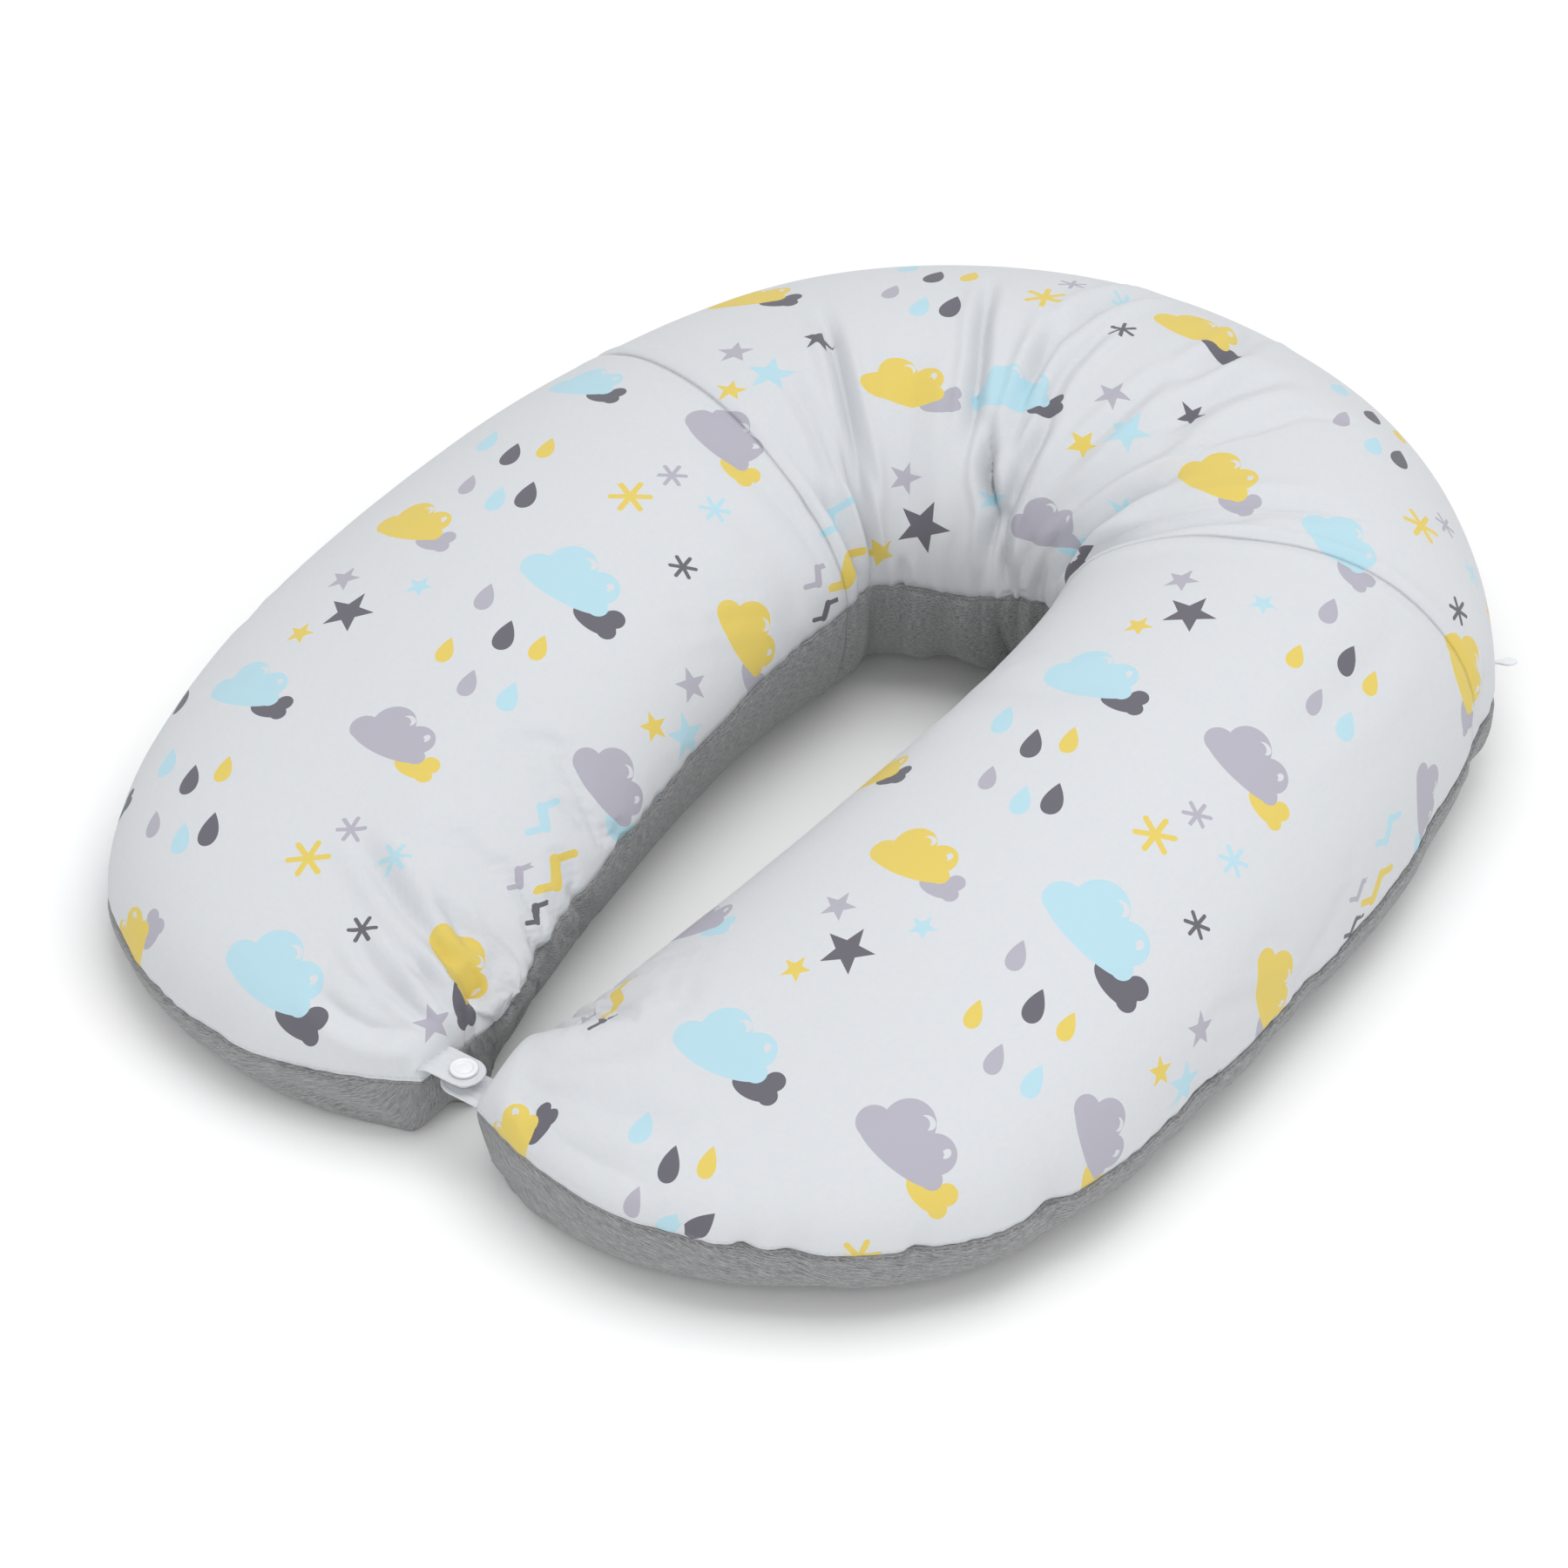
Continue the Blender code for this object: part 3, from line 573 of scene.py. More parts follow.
# Groups of small motifs, laid out from the group's own middle: kind, x cm, y cm, size cm, ink.
GREY_DROPS = (
    (DROP, 0.0, 0.0, 1.25, SLATE),
    (DROP, -2.5, 1.6, 1.15, LILAC),
    (DROP, -2.0, -2.4, 1.05, YELLOW),
    (DROP, 1.9, 0.4, 1.05, YELLOW),
    (DROP, 0.4, -3.6, 1.10, LILAC),
    (DROP, 2.6, -3.1, 1.20, BLUE),
)
BLUE_DROPS = (
    (DROP, 0.0, 0.0, 1.25, SLATE),
    (DROP, -2.5, 1.0, 1.30, BLUE),
    (DROP, 1.6, 1.1, 1.10, YELLOW),
    (DROP, -0.7, -3.0, 1.05, LILAC),
    (DROP, 1.7, -3.6, 1.20, BLUE),
    (DROP, 3.1, -2.7, 1.30, SLATE),
)
DARK_STARS = (
    (STAR, 0.0, 0.0, 1.50, SLATE),
    (STAR, -2.0, 2.2, 1.00, LILAC),
    (STAR, -1.8, -2.1, 0.85, YELLOW),
    (STAR, 2.7, 2.9, 0.80, BLUE),
)
BLUE_STARS = (
    (STAR, 0.0, 0.0, 1.40, BLUE),
    (STAR, -2.2, 1.9, 1.05, LILAC),
    (STAR, -1.9, -1.6, 0.90, YELLOW),
    (STAR, 2.2, 3.0, 0.90, SLATE),
)
LONE_STAR = ((STAR, 0.0, 0.0, 1.10, LILAC),)
BURSTS = (
    (BURST, 0.0, 0.0, 1.20, YELLOW),
    (BURST, 0.8, 2.6, 0.85, LILAC),
    (BURST, 3.9, 2.3, 0.90, BLUE),
    (BURST, 5.0, -2.0, 0.80, SLATE),
)
BOLTS = (
    (BOLT, 0.0, 0.0, 1.75, YELLOW),
    (BOLT, -2.6, 1.6, 1.45, BLUE),
    (BOLT, -1.05, -1.8, 1.10, LILAC),
    (BOLT, 1.0, -2.4, 1.05, SLATE),
)

# Where the groups lie: along, across, and the turn of the group in degrees.
GROUPS = (
    (DARK_STARS, 4.5, 0.37, 0),
    (DARK_STARS, 9.2, 0.88, 28),
    (DARK_STARS, 13.0, 0.86, 0),
    (DARK_STARS, 14.8, 0.53, 0),
    (DARK_STARS, 17.6, 0.53, 0),
    (BLUE_STARS, 7.5, 0.53, 28),
    (BLUE_STARS, 4.9, 0.94, 0),
    (BLUE_STARS, 11.0, 0.63, 0),
    (BLUE_STARS, 16.6, 0.04, 0),
    (GREY_DROPS, 4.6, 0.58, 0),
    (GREY_DROPS, 14.7, 0.30, 0),
    (GREY_DROPS, 17.1, 0.30, 0),
    (BLUE_DROPS, 3.2, 0.27, 0),
    (BLUE_DROPS, 5.8, 0.38, 0),
    (BLUE_DROPS, 8.8, 0.37, 0),
    (BLUE_DROPS, 11.5, 0.28, 0),
    (BLUE_DROPS, 16.0, 0.57, 0),
    (BLUE_DROPS, 19.3, 0.23, 0),
    (BURSTS, 2.5, 0.45, 0),
    (BURSTS, 5.9, 0.57, 0),
    (BURSTS, 9.5, 0.42, 18),
    (BURSTS, 12.8, 0.28, 0),
    (BURSTS, 16.1, 0.35, 0),
    (BURSTS, 18.4, 0.0, 0),
    (BURSTS, 8.0, 0.08, 0),
    (BOLTS, 2.8, 0.85, 0),
    (BOLTS, 7.1, 0.91, 5),
    (BOLTS, 15.2, 0.03, 0),
    (BOLTS, 19.2, 0.74, 0),
    (LONE_STAR, 0.2, 0.42, 0),
    (DARK_STARS, 6.4, 0.06, 0),
    (BLUE_DROPS, 4.2, 0.06, 0),
    (GREY_DROPS, 10.6, 0.06, 0),
    (BLUE_STARS, 12.6, 0.04, 0),
)
# Clouds: along, across, size, ink of the cloud, ink of the one behind it, and turn in degrees.
CLOUDS = (
    (3.9, 0.30, 0.95, BLUE, SLATE, 0),
    (5.2, 0.60, 1.10, BLUE, SLATE, 0),
    (1.5, 0.28, 1.15, BLUE, SLATE, -8),
    (3.6, 0.53, 0.95, LILAC, YELLOW, 0),
    (4.0, 0.85, 0.95, LILAC, BLUE, 0),
    (5.2, 0.35, 0.90, YELLOW, LILAC, 0),
    (5.8, 0.88, 0.90, YELLOW, LILAC, 0),
    (2.4, 0.03, 0.90, YELLOW, LILAC, 0),
    (1.1, 0.67, 0.90, YELLOW, SLATE, -22),
    (6.6, 0.33, 0.90, BLUE, SLATE, 0),
    (6.8, 0.58, 0.95, LILAC, YELLOW, -12),
    (7.8, 0.30, 0.95, YELLOW, SLATE, 18),
    (8.7, 0.62, 0.90, YELLOW, LILAC, 28),
    (9.7, 0.62, 0.85, BLUE, SLATE, 26),
    (10.4, 0.38, 0.95, YELLOW, SLATE, 0),
    (12.4, 0.58, 0.95, YELLOW, LILAC, -6),
    (13.8, 0.40, 0.90, BLUE, LILAC, -12),
    (11.4, 0.85, 0.75, LILAC, BLUE, 26),
    (14.0, 0.12, 0.90, YELLOW, LILAC, 0),
    (15.4, 0.58, 1.00, BLUE, SLATE, 6),
    (15.5, 0.32, 1.00, LILAC, YELLOW, 0),
    (16.9, 0.57, 0.95, YELLOW, LILAC, 0),
    (16.6, 0.32, 1.25, BLUE, SLATE, -5),
    (18.6, 0.48, 1.10, BLUE, SLATE, 0),
    (18.0, 0.23, 1.10, LILAC, YELLOW, 0),
    (20.6, 0.02, 0.90, YELLOW, SLATE, 0),
    (16.0, 0.05, 0.95, YELLOW, LILAC, 0),
    (14.7, 0.05, 0.90, LILAC, BLUE, 0),
    (17.1, 0.07, 0.95, LILAC, YELLOW, 0),
    (18.0, 0.80, 0.85, LILAC, BLUE, 0),
    (16.3, 0.80, 0.85, YELLOW, SLATE, 0),
    (3.4, 0.02, 0.90, BLUE, SLATE, 0),
    (5.2, 0.04, 0.95, LILAC, YELLOW, 0),
    (7.2, 0.06, 0.95, YELLOW, SLATE, 0),
    (9.3, 0.06, 0.95, BLUE, LILAC, 0),
    (11.8, 0.05, 0.95, LILAC, YELLOW, 0),
)


def print_axes(normal, turn):
    """The print's own x and y directions on cloth facing along a normal."""
    up = np.array((0.0, 1.0, 0.0)) - normal * normal[1]
    up = up / np.linalg.norm(up)
    right = np.cross(up, normal)
    cosine, sine = math.cos(math.radians(turn)), math.sin(math.radians(turn))
    return right * cosine + up * sine, up * cosine - right * sine


def cloth_axes(at, across, turned_by):
    """A spot on the smooth top with its normal and the print's own x and y directions."""
    turn = math.pi * across
    spots = [
        section_points(min(max(at + du, 0.0), RING_END), np.array([turn + dv]), True)[0]
        for du, dv in ((0.0, 0.0), (0.02, 0.0), (-0.02, 0.0), (0.0, 0.02), (0.0, -0.02))
    ]
    normal = np.cross(spots[3] - spots[4], spots[1] - spots[2])
    normal = normal / np.linalg.norm(normal)
    return spots[0], normal, *print_axes(normal, turned_by)


def motifs():
    """Every motif of the print: kind, middle, normal, x and y directions, size, two inks."""
    made = []
    for group, at, across, turned_by in GROUPS:
        middle, _, right, up = cloth_axes(at, across, turned_by)
        for kind, x, y, size, ink in group:
            spot = middle + (right * x + up * y) / 100.0
            made.append((kind, *nearest_axes(spot, turned_by), size, ink, ink))
    for at, across, size, ink, behind, turned_by in CLOUDS:
        made.append((CLOUD, *cloth_axes(at, across, turned_by), 1.14 * size, ink, behind))
    return made


def nearest_axes(spot, turned_by):
    """The print's axes at the spot of the smooth top nearest to a point."""
    gaps = np.linalg.norm(SMOOTH_TOP - spot, axis=2)
    row, column = np.unravel_index(gaps.argmin(), gaps.shape)
    middle = SMOOTH_TOP[row, column]
    normal = TOP_NORMALS[row, column]
    spot = spot - normal * ((spot - middle) @ normal)
    return spot, normal, *print_axes(normal, turned_by)


def near_cloud(x, y):
    """Whether places in a cloud's own frame lie on it, on the one behind it, or just beside."""
    inside = np.zeros(x.shape, bool)
    for middle_x, middle_y, half_width, half_height in (*CLOUD_LOBES, *BEHIND_LOBES):
        wide = (x - middle_x) / (half_width + 0.30)
        tall = (y - middle_y) / (half_height + 0.30)
        inside |= wide**2 + tall**2 < 1.0
    return inside


def print_fields(points, faces):
    """For each face corner the place in its motif, and for each face the kind and the inks."""
    corners = points[faces]
    middles = corners.mean(axis=1)
    place = np.zeros((*faces.shape, 3))
    ink = np.ones((len(faces), 4))
    behind = np.ones((len(faces), 4))
    nearest = np.full(len(faces), np.inf)
    for kind, middle, normal, right, up, size, first, second in PRINT:
        gap = middles - middle
        far = np.linalg.norm(gap, axis=1) / (size / 100.0)
        held = (far < REACH[kind]) & (np.abs(gap @ normal) < 0.03)
        if kind == CLOUD:
            spread = far / np.maximum(np.hypot(gap @ right, gap @ up), 1e-6)
            held &= near_cloud(gap @ right * spread, gap @ up * spread)
        else:
            held &= far < nearest
        nearest[held] = far[held]
        offset = corners[held] - middle
        flat_x = offset @ right
        flat_y = offset @ up
        flat = np.maximum(np.hypot(flat_x, flat_y), 1e-6)
        stretch = np.linalg.norm(offset, axis=2) / flat / (size / 100.0)
        place[held, :, 0] = flat_x * stretch
        place[held, :, 1] = flat_y * stretch
        place[held, :, 2] = kind
        ink[held, :3] = first
        behind[held, :3] = second
    return place, ink, behind


# --- shader nodes ------------------------------------------------------------------------------


class Nodes:
    """Short calls for building one material's node tree."""

    def __init__(self, name):
        self.material = bpy.data.materials.new(name)
        self.material.use_nodes = True
        self.tree = self.material.node_tree
        self.shader = self.tree.nodes["Principled BSDF"]

    def feed(self, socket, value):
        if isinstance(value, bpy.types.NodeSocket):
            self.tree.links.new(value, socket)
        elif value is not None:
            socket.default_value = value

    def add(self, kind, *inputs, out=0, **settings):
        made = self.tree.nodes.new(kind)
        for key, value in settings.items():
            setattr(made, key, value)
        for number, value in enumerate(inputs):
            self.feed(made.inputs[number], value)
        return made.outputs[out]

    def math(self, operation, *inputs):
        return self.add("ShaderNodeMath", *inputs, operation=operation)

    def times(self, first, second):
        return self.math("MULTIPLY", first, second)

    def attribute(self, name, out="Vector"):
        return self.add("ShaderNodeAttribute", attribute_name=name, out=out)

    def mixed(self, share, first, second):
        made = self.tree.nodes.new("ShaderNodeMix")
        made.data_type = "RGBA"
        for number, value in ((0, share), (6, first), (7, second)):
            self.feed(made.inputs[number], value)
        return made.outputs[2]

    def split(self, vector):
        return tuple(self.add("ShaderNodeSeparateXYZ", vector).node.outputs)

    def noise(self, vector, scale, detail=2.0, roughness=0.5):
        made = self.tree.nodes.new("ShaderNodeTexNoise")
        settings = {"Vector": vector, "Scale": scale, "Detail": detail, "Roughness": roughness}
        for name, value in settings.items():
            self.feed(made.inputs[name], value)
        return made.outputs["Fac"]

    def stretched(self, vector, x, y, z):
        return self.add("ShaderNodeVectorMath", vector, (x, y, z), operation="MULTIPLY")

    def bump(self, height, distance, strength=1.0, normal=None):
        made = self.tree.nodes.new("ShaderNodeBump")
        settings = {"Strength": strength, "Distance": distance, "Height": height, "Normal": normal}
        for name, value in settings.items():
            self.feed(made.inputs[name], value)
        return made.outputs["Normal"]

    def set(self, **values):
        for key, value in values.items():
            self.feed(self.shader.inputs[key.replace("_", " ")], value)


def inside_circle(nodes, place, x, y, radius):
    gap = nodes.add("ShaderNodeVectorMath", place, (x, y, 0.0), operation="DISTANCE", out=1)
    return nodes.math("LESS_THAN", gap, radius)


def inside_oval(nodes, place, x, y, width, height):
    moved = nodes.add("ShaderNodeVectorMath", place, (x, y, 0.0), operation="SUBTRACT")
    scaled = nodes.stretched(moved, 1.0 / width, 1.0 / height, 1.0)
    return inside_circle(nodes, scaled, 0.0, 0.0, 1.0)


def any_of(nodes, *masks):
    result = masks[0]
    for mask in masks[1:]:
        result = nodes.math("MAXIMUM", result, mask)
    return result


def without(nodes, first, second):
    return nodes.times(first, nodes.math("SUBTRACT", 1.0, second))


def near_segment(nodes, x, y, start, end, width):
    """Inside a round-ended stroke from start to end."""
    span = (end[0] - start[0], end[1] - start[1])
    length = math.hypot(*span)
    direction = (span[0] / length, span[1] / length)
    dx = nodes.math("SUBTRACT", x, start[0])
    dy = nodes.math("SUBTRACT", y, start[1])
    across = nodes.math("MULTIPLY_ADD", dy, direction[1], nodes.times(dx, direction[0]))
    held = nodes.math("MINIMUM", nodes.math("MAXIMUM", across, 0.0), length)
    over = nodes.math("SUBTRACT", across, held)
    side = nodes.math("MULTIPLY_ADD", dx, direction[1], nodes.times(dy, -direction[0]))
    gap = nodes.math("MULTIPLY_ADD", over, over, nodes.times(side, side))
    return nodes.math("LESS_THAN", gap, width * width)


def cloud_masks(nodes, place):
    """The cloud, the small cloud behind it, and the shine on its lobes."""
    cloud = any_of(nodes, *[inside_oval(nodes, place, *lobe) for lobe in CLOUD_LOBES])
    behind = any_of(nodes, *[inside_oval(nodes, place, *lobe) for lobe in BEHIND_LOBES])
    shine = any_of(
        nodes,
        without(
            nodes,
            inside_oval(nodes, place, 0.02, 1.12, 0.36, 0.30),
            inside_circle(nodes, place, -0.14, 0.90, 0.36),
        ),
        without(
            nodes,
            inside_oval(nodes, place, 1.42, 0.66, 0.17, 0.23),
            inside_circle(nodes, place, 1.26, 0.46, 0.16),
        ),
    )
    return cloud, without(nodes, behind, cloud), shine


def folded(nodes, x, y, slices, start):
    """The place folded into half a slice, for shapes with turning symmetry."""
    radius = nodes.math("SQRT", nodes.math("MULTIPLY_ADD", x, x, nodes.times(y, y)))
    angle = nodes.math("ADD", nodes.math("ARCTAN2", y, x), 4.0 * math.pi - math.radians(start))
    angle = nodes.math("PINGPONG", angle, math.pi / slices)
    parts = [nodes.times(radius, nodes.math(way, angle)) for way in ("COSINE", "SINE")]
    return tuple(parts)


def star_mask(nodes, x, y):
    tip, notch = 1.0, 0.42
    half = math.pi / 5.0
    corner = (notch * math.cos(half), notch * math.sin(half))
    edge = (corner[0] - tip, corner[1])
    size = math.hypot(*edge)
    square = (edge[1] / size, -edge[0] / size)
    px, py = folded(nodes, x, y, 5, 88.0)
    height = nodes.math("MULTIPLY_ADD", py, square[1], nodes.times(px, square[0]))
    return nodes.math("LESS_THAN", height, tip * square[0])


def burst_mask(nodes, x, y):
    px, py = folded(nodes, x, y, 6, 36.0)
    return near_segment(nodes, px, py, (0.0, 0.0), (0.86, 0.0), 0.135)


def drop_mask(nodes, x, y):
    """A rain drop, its tip leaning from straight up."""
    lean = math.radians(18.0)
    cosine, sine = math.cos(lean), math.sin(lean)
    x, y = (
        nodes.math("MULTIPLY_ADD", x, cosine, nodes.times(y, sine)),
        nodes.math("MULTIPLY_ADD", y, cosine, nodes.times(x, -sine)),
    )
    low = nodes.math("ADD", y, 0.66)
    high = nodes.math("SUBTRACT", 1.0, y)
    room = nodes.times(nodes.times(high, high), low)
    wide = nodes.times(x, x)
    inside = nodes.math("GREATER_THAN", nodes.times(room, 0.28), wide)
    return nodes.times(inside, nodes.math("GREATER_THAN", high, 0.0))


def bolt_mask(nodes, x, y):
    corners = ((-0.05, 0.92), (-0.28, 0.24), (0.32, -0.26), (0.02, -0.90))
    widths = (0.13, 0.20, 0.13)
    strokes = [
        near_segment(nodes, x, y, start, end, width)
        for start, end, width in zip(corners[:-1], corners[1:], widths)
    ]
    return any_of(nodes, *strokes)


def woven_bump(nodes, fabric, pitch_cm, depth):
    """Crossing threads at a real pitch."""
    turn = 2.0 * math.pi / pitch_cm
    x, y, _ = nodes.split(fabric)
    warp = nodes.math("SINE", nodes.times(x, turn))
    weft = nodes.math("SINE", nodes.times(y, turn))
    return nodes.bump(nodes.times(warp, weft), depth, 0.6)


STITCH_INSET_CM = 0.22
STITCH_HALF_WIDTH_CM = 0.035
STITCH_PITCH_CM = 0.32


def stitch_line(nodes, fabric):
    """A row of stitches beside the panel's long edges; 1 on thread."""
    along, _, edge = nodes.split(fabric)
    gap = nodes.math("ABSOLUTE", nodes.math("SUBTRACT", edge, STITCH_INSET_CM))
    line = nodes.math("LESS_THAN", gap, STITCH_HALF_WIDTH_CM)
    beat = nodes.math("FRACT", nodes.math("DIVIDE", along, STITCH_PITCH_CM))
    return nodes.times(line, nodes.math("LESS_THAN", beat, 0.68))


def printed_cotton():
    """White cotton with its printed motifs, fine weave and stitched seams."""
    nodes = Nodes("printed_cotton")
    place = nodes.attribute("print_place")
    fabric = nodes.attribute("fabric")
    x, y, kind = nodes.split(place)
    flat = nodes.stretched(place, 1.0, 1.0, 0.0)
    cloud, behind, shine = cloud_masks(nodes, flat)
    shapes = (
        (CLOUD, cloud),
        (STAR, star_mask(nodes, x, y)),
        (DROP, drop_mask(nodes, x, y)),
        (BURST, burst_mask(nodes, x, y)),
        (BOLT, bolt_mask(nodes, x, y)),
    )
    chosen = [nodes.times(nodes.math("COMPARE", kind, number, 0.3), mask) for number, mask in shapes]
    is_cloud = nodes.math("COMPARE", kind, CLOUD, 0.3)
    hidden_cloud = nodes.times(is_cloud, behind)
    shining = nodes.times(is_cloud, nodes.times(shine, cloud))
    mottle = nodes.noise(fabric, 3.0, 3.0)
    fleck = nodes.noise(nodes.stretched(fabric, 1.0, 1.0, 0.0), 30.0, 2.0)
    cloth = nodes.mixed(mottle, (0.632, 0.650, 0.676, 1.0), (0.680, 0.694, 0.716, 1.0))
    shade = nodes.math("MULTIPLY_ADD", fleck, 0.16, 0.92)
    coloured = nodes.mixed(hidden_cloud, cloth, nodes.attribute("print_behind", "Color"))
    coloured = nodes.mixed(any_of(nodes, *chosen), coloured, nodes.attribute("print_ink", "Color"))
    coloured = nodes.mixed(shining, coloured, cloth)
    seam = stitch_line(nodes, fabric)
    coloured = nodes.mixed(nodes.times(seam, 0.35), coloured, (0.40, 0.41, 0.44, 1.0))
    dimmed = nodes.add("ShaderNodeVectorMath", coloured, None, operation="SCALE")
    nodes.tree.links.new(shade, dimmed.node.inputs["Scale"])
    nodes.set(Base_Color=dimmed, Roughness=0.78, Sheen_Weight=0.12, Sheen_Roughness=0.45)
    nodes.set(Normal=woven_bump(nodes, fabric, 0.055, 0.00010))
    return nodes.material


def melange_jersey():
    """Grey knit spun from light and dark fibres: short streaks along the wales."""
    nodes = Nodes("melange_jersey")
    fabric = nodes.attribute("fabric")
    long_streaks = nodes.noise(nodes.stretched(fabric, 1.0, 9.0, 0.0), 1.5, 4.0, 0.7)
    short_streaks = nodes.noise(nodes.stretched(fabric, 4.0, 22.0, 0.0), 1.3, 3.0, 0.75)
    blotches = nodes.noise(fabric, 0.8, 3.0)
    mix = nodes.math("MULTIPLY_ADD", long_streaks, 0.55, nodes.times(short_streaks, 0.45))
    ramp = nodes.tree.nodes.new("ShaderNodeValToRGB")
    nodes.tree.links.new(mix, ramp.inputs[0])
    ramp.color_ramp.elements[0].position = 0.38
    ramp.color_ramp.elements[0].color = (0.060, 0.062, 0.065, 1.0)
    ramp.color_ramp.elements[1].position = 0.62
    ramp.color_ramp.elements[1].color = (0.470, 0.473, 0.474, 1.0)
    blotched = nodes.times(blotches, 0.25)
    toned = nodes.mixed(blotched, ramp.outputs[0], (0.20, 0.20, 0.21, 1.0))
    seam = stitch_line(nodes, fabric)
    toned = nodes.mixed(nodes.times(seam, 0.6), toned, (0.10, 0.10, 0.105, 1.0))
    nodes.set(Base_Color=toned, Roughness=0.92, Sheen_Weight=0.25, Sheen_Roughness=0.5)
    knit = woven_bump(nodes, nodes.stretched(fabric, 1.0, 1.6, 1.0), 0.10, 0.00018)
    nodes.set(Normal=nodes.bump(short_streaks, 0.0003, 0.5, knit))
    return nodes.material


def plain_cloth(name, colour, pitch_cm):
    """Woven cloth patterned by its place in space, for pieces without cloth coordinates."""
    nodes = Nodes(name)
    where = nodes.add("ShaderNodeTexCoord", out="Object")
    fabric = nodes.stretched(where, 100.0, 100.0, 100.0)
    tone = nodes.noise(fabric, 4.0, 3.0)
    dark = tuple(0.9 * value for value in colour)
    nodes.set(Base_Color=nodes.mixed(tone, (*dark, 1.0), (*colour, 1.0)), Roughness=0.85)
    nodes.set(Normal=woven_bump(nodes, fabric, pitch_cm, 0.00015))
    return nodes.material


def moulded(name, colour, roughness):
    """Moulded plastic or painted metal, with faint unevenness in its gloss."""
    nodes = Nodes(name)
    where = nodes.add("ShaderNodeTexCoord", out="Object")
    tone = nodes.noise(where, 300.0, 3.0)
    dark = tuple(0.94 * value for value in colour)
    nodes.set(Base_Color=nodes.mixed(tone, (*dark, 1.0), (*colour, 1.0)))
    nodes.set(Roughness=nodes.math("MULTIPLY_ADD", tone, 0.12, roughness - 0.06))
    nodes.set(Normal=nodes.bump(nodes.noise(where, 900.0), 0.00003))
    return nodes.material


def bead_foam():
    """Packed foam beads, about 3 mm across, with painted shade between them."""
    nodes = Nodes("foam_beads")
    where = nodes.add("ShaderNodeTexCoord", out="Object")
    cells = nodes.tree.nodes.new("ShaderNodeTexVoronoi")
    nodes.tree.links.new(where, cells.inputs["Vector"])
    cells.inputs["Scale"].default_value = 320.0
    bead_height_and_shade = nodes.math("SUBTRACT", 1.0, cells.outputs["Distance"])
    # Painted shade: grey where the beads meet, pale in each bead's middle; the same field is the
    # beads' bump.
    nodes.set(Base_Color=nodes.mixed(bead_height_and_shade, (0.55, 0.55, 0.55, 1.0), (0.88, 0.88, 0.87, 1.0)))
    nodes.set(Roughness=0.6, Normal=nodes.bump(bead_height_and_shade, 0.001))
    return nodes.material


# --- pieces ------------------------------------------------------------------------------------


def link(name, mesh, material):
    made = bpy.data.objects.new(name, mesh)
    bpy.context.scene.collection.objects.link(made)
    mesh.materials.append(material)
    return made


def smooth_mesh(name, points, faces):
    mesh = bpy.data.meshes.new(name)
    mesh.from_pydata(np.asarray(points).tolist(), [], np.asarray(faces).tolist())
    mesh.shade_smooth()
    return mesh


def fabric_field(grid):
    """Cloth coordinates in cm: along the panel, across it, and from its nearer long edge."""
    along = path_lengths(grid).mean(axis=1)[:, None]
    across = path_lengths(grid.swapaxes(0, 1)).T
    edge = np.minimum(across, across[:, -1:] - across)
    along = np.broadcast_to(along, across.shape)
    return np.stack((along, across - across[:, -1:] / 2.0, edge), axis=2) * 100.0


def write_field(mesh, name, kind, domain, values):
    """A named attribute on a mesh: FLOAT_VECTOR or FLOAT_COLOR."""
    layer = mesh.attributes.new(name, kind, domain)
    layer.data.foreach_set("color" if kind == "FLOAT_COLOR" else "vector", values.ravel())


def thickness(piece, depth):
    made = piece.modifiers.new("cloth thickness", "SOLIDIFY")
    made.thickness = depth
    made.offset = -1.0


def cover_panel(name, rows, grid, upper):
    """One panel of the cover, cut from the ring's finished grid."""
    part = grid[rows]
    points = part.reshape(-1, 3)
    index = np.arange(len(points)).reshape(part.shape[:2])
    faces = quads(index, not upper)
    mesh = smooth_mesh(name, points, faces)
    write_field(mesh, "fabric", "FLOAT_VECTOR", "POINT", fabric_field(part))
    if upper:
        smooth = DENSE_SMOOTH_TOP[rows].reshape(-1, 3)
        place, ink, behind = print_fields(smooth, faces)
        write_field(mesh, "print_place", "FLOAT_VECTOR", "CORNER", place)
        write_field(mesh, "print_ink", "FLOAT_COLOR", "FACE", ink)
        write_field(mesh, "print_behind", "FLOAT_COLOR", "FACE", behind)
        piece = link(name, mesh, PRINTED)
    else:
        piece = link(name, mesh, JERSEY)
    thickness(piece, COTTON_THICKNESS)
    return piece


def hold(piece, stretch):
    """A piece of the bend is attached to the bend; an arm's piece has its place baked into its mesh.
    """
    if stretch == "bend":
        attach(piece, "bend")
        return
    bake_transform(piece)


def soft_stand_in(piece, stretch, node):
    """Places a piece of one stretch as hold does, and hides the CAD node that it stands for."""
    hold(piece, stretch)
    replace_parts(piece, node)


def aimed(name, data, place, turn):
    """A camera or light in the scene at a place, turned by a quaternion."""
    made = bpy.data.objects.new(name, data)
    made.location = place
    made.rotation_mode = "QUATERNION"
    made.rotation_quaternion = turn
    bpy.context.scene.collection.objects.link(made)
    return made


def make_camera():
    """The photograph's direction and framing, from far off with a long lens."""
    azimuth, elevation, distance = math.radians(36.0), math.radians(40.3), 4.74
    target = Vector((-0.007, -0.044, 0.05))
    back = Vector((
        math.sin(azimuth) * math.cos(elevation),
        -math.cos(azimuth) * math.cos(elevation),
        math.sin(elevation),
    ))
    data = bpy.data.cameras.new("camera")
    data.lens = 206.4
    data.sensor_width = 36.0
    camera = aimed("camera", data, target + back * distance, (-back).to_track_quat("-Z", "Y"))
    bpy.context.scene.camera = camera


def soft_box(name, place, size, watts):
    data = bpy.data.lights.new(name, "AREA")
    data.shape = "SQUARE"
    data.size = size
    data.energy = watts
    aimed(name, data, place, Vector(place).to_track_quat("Z", "Y"))


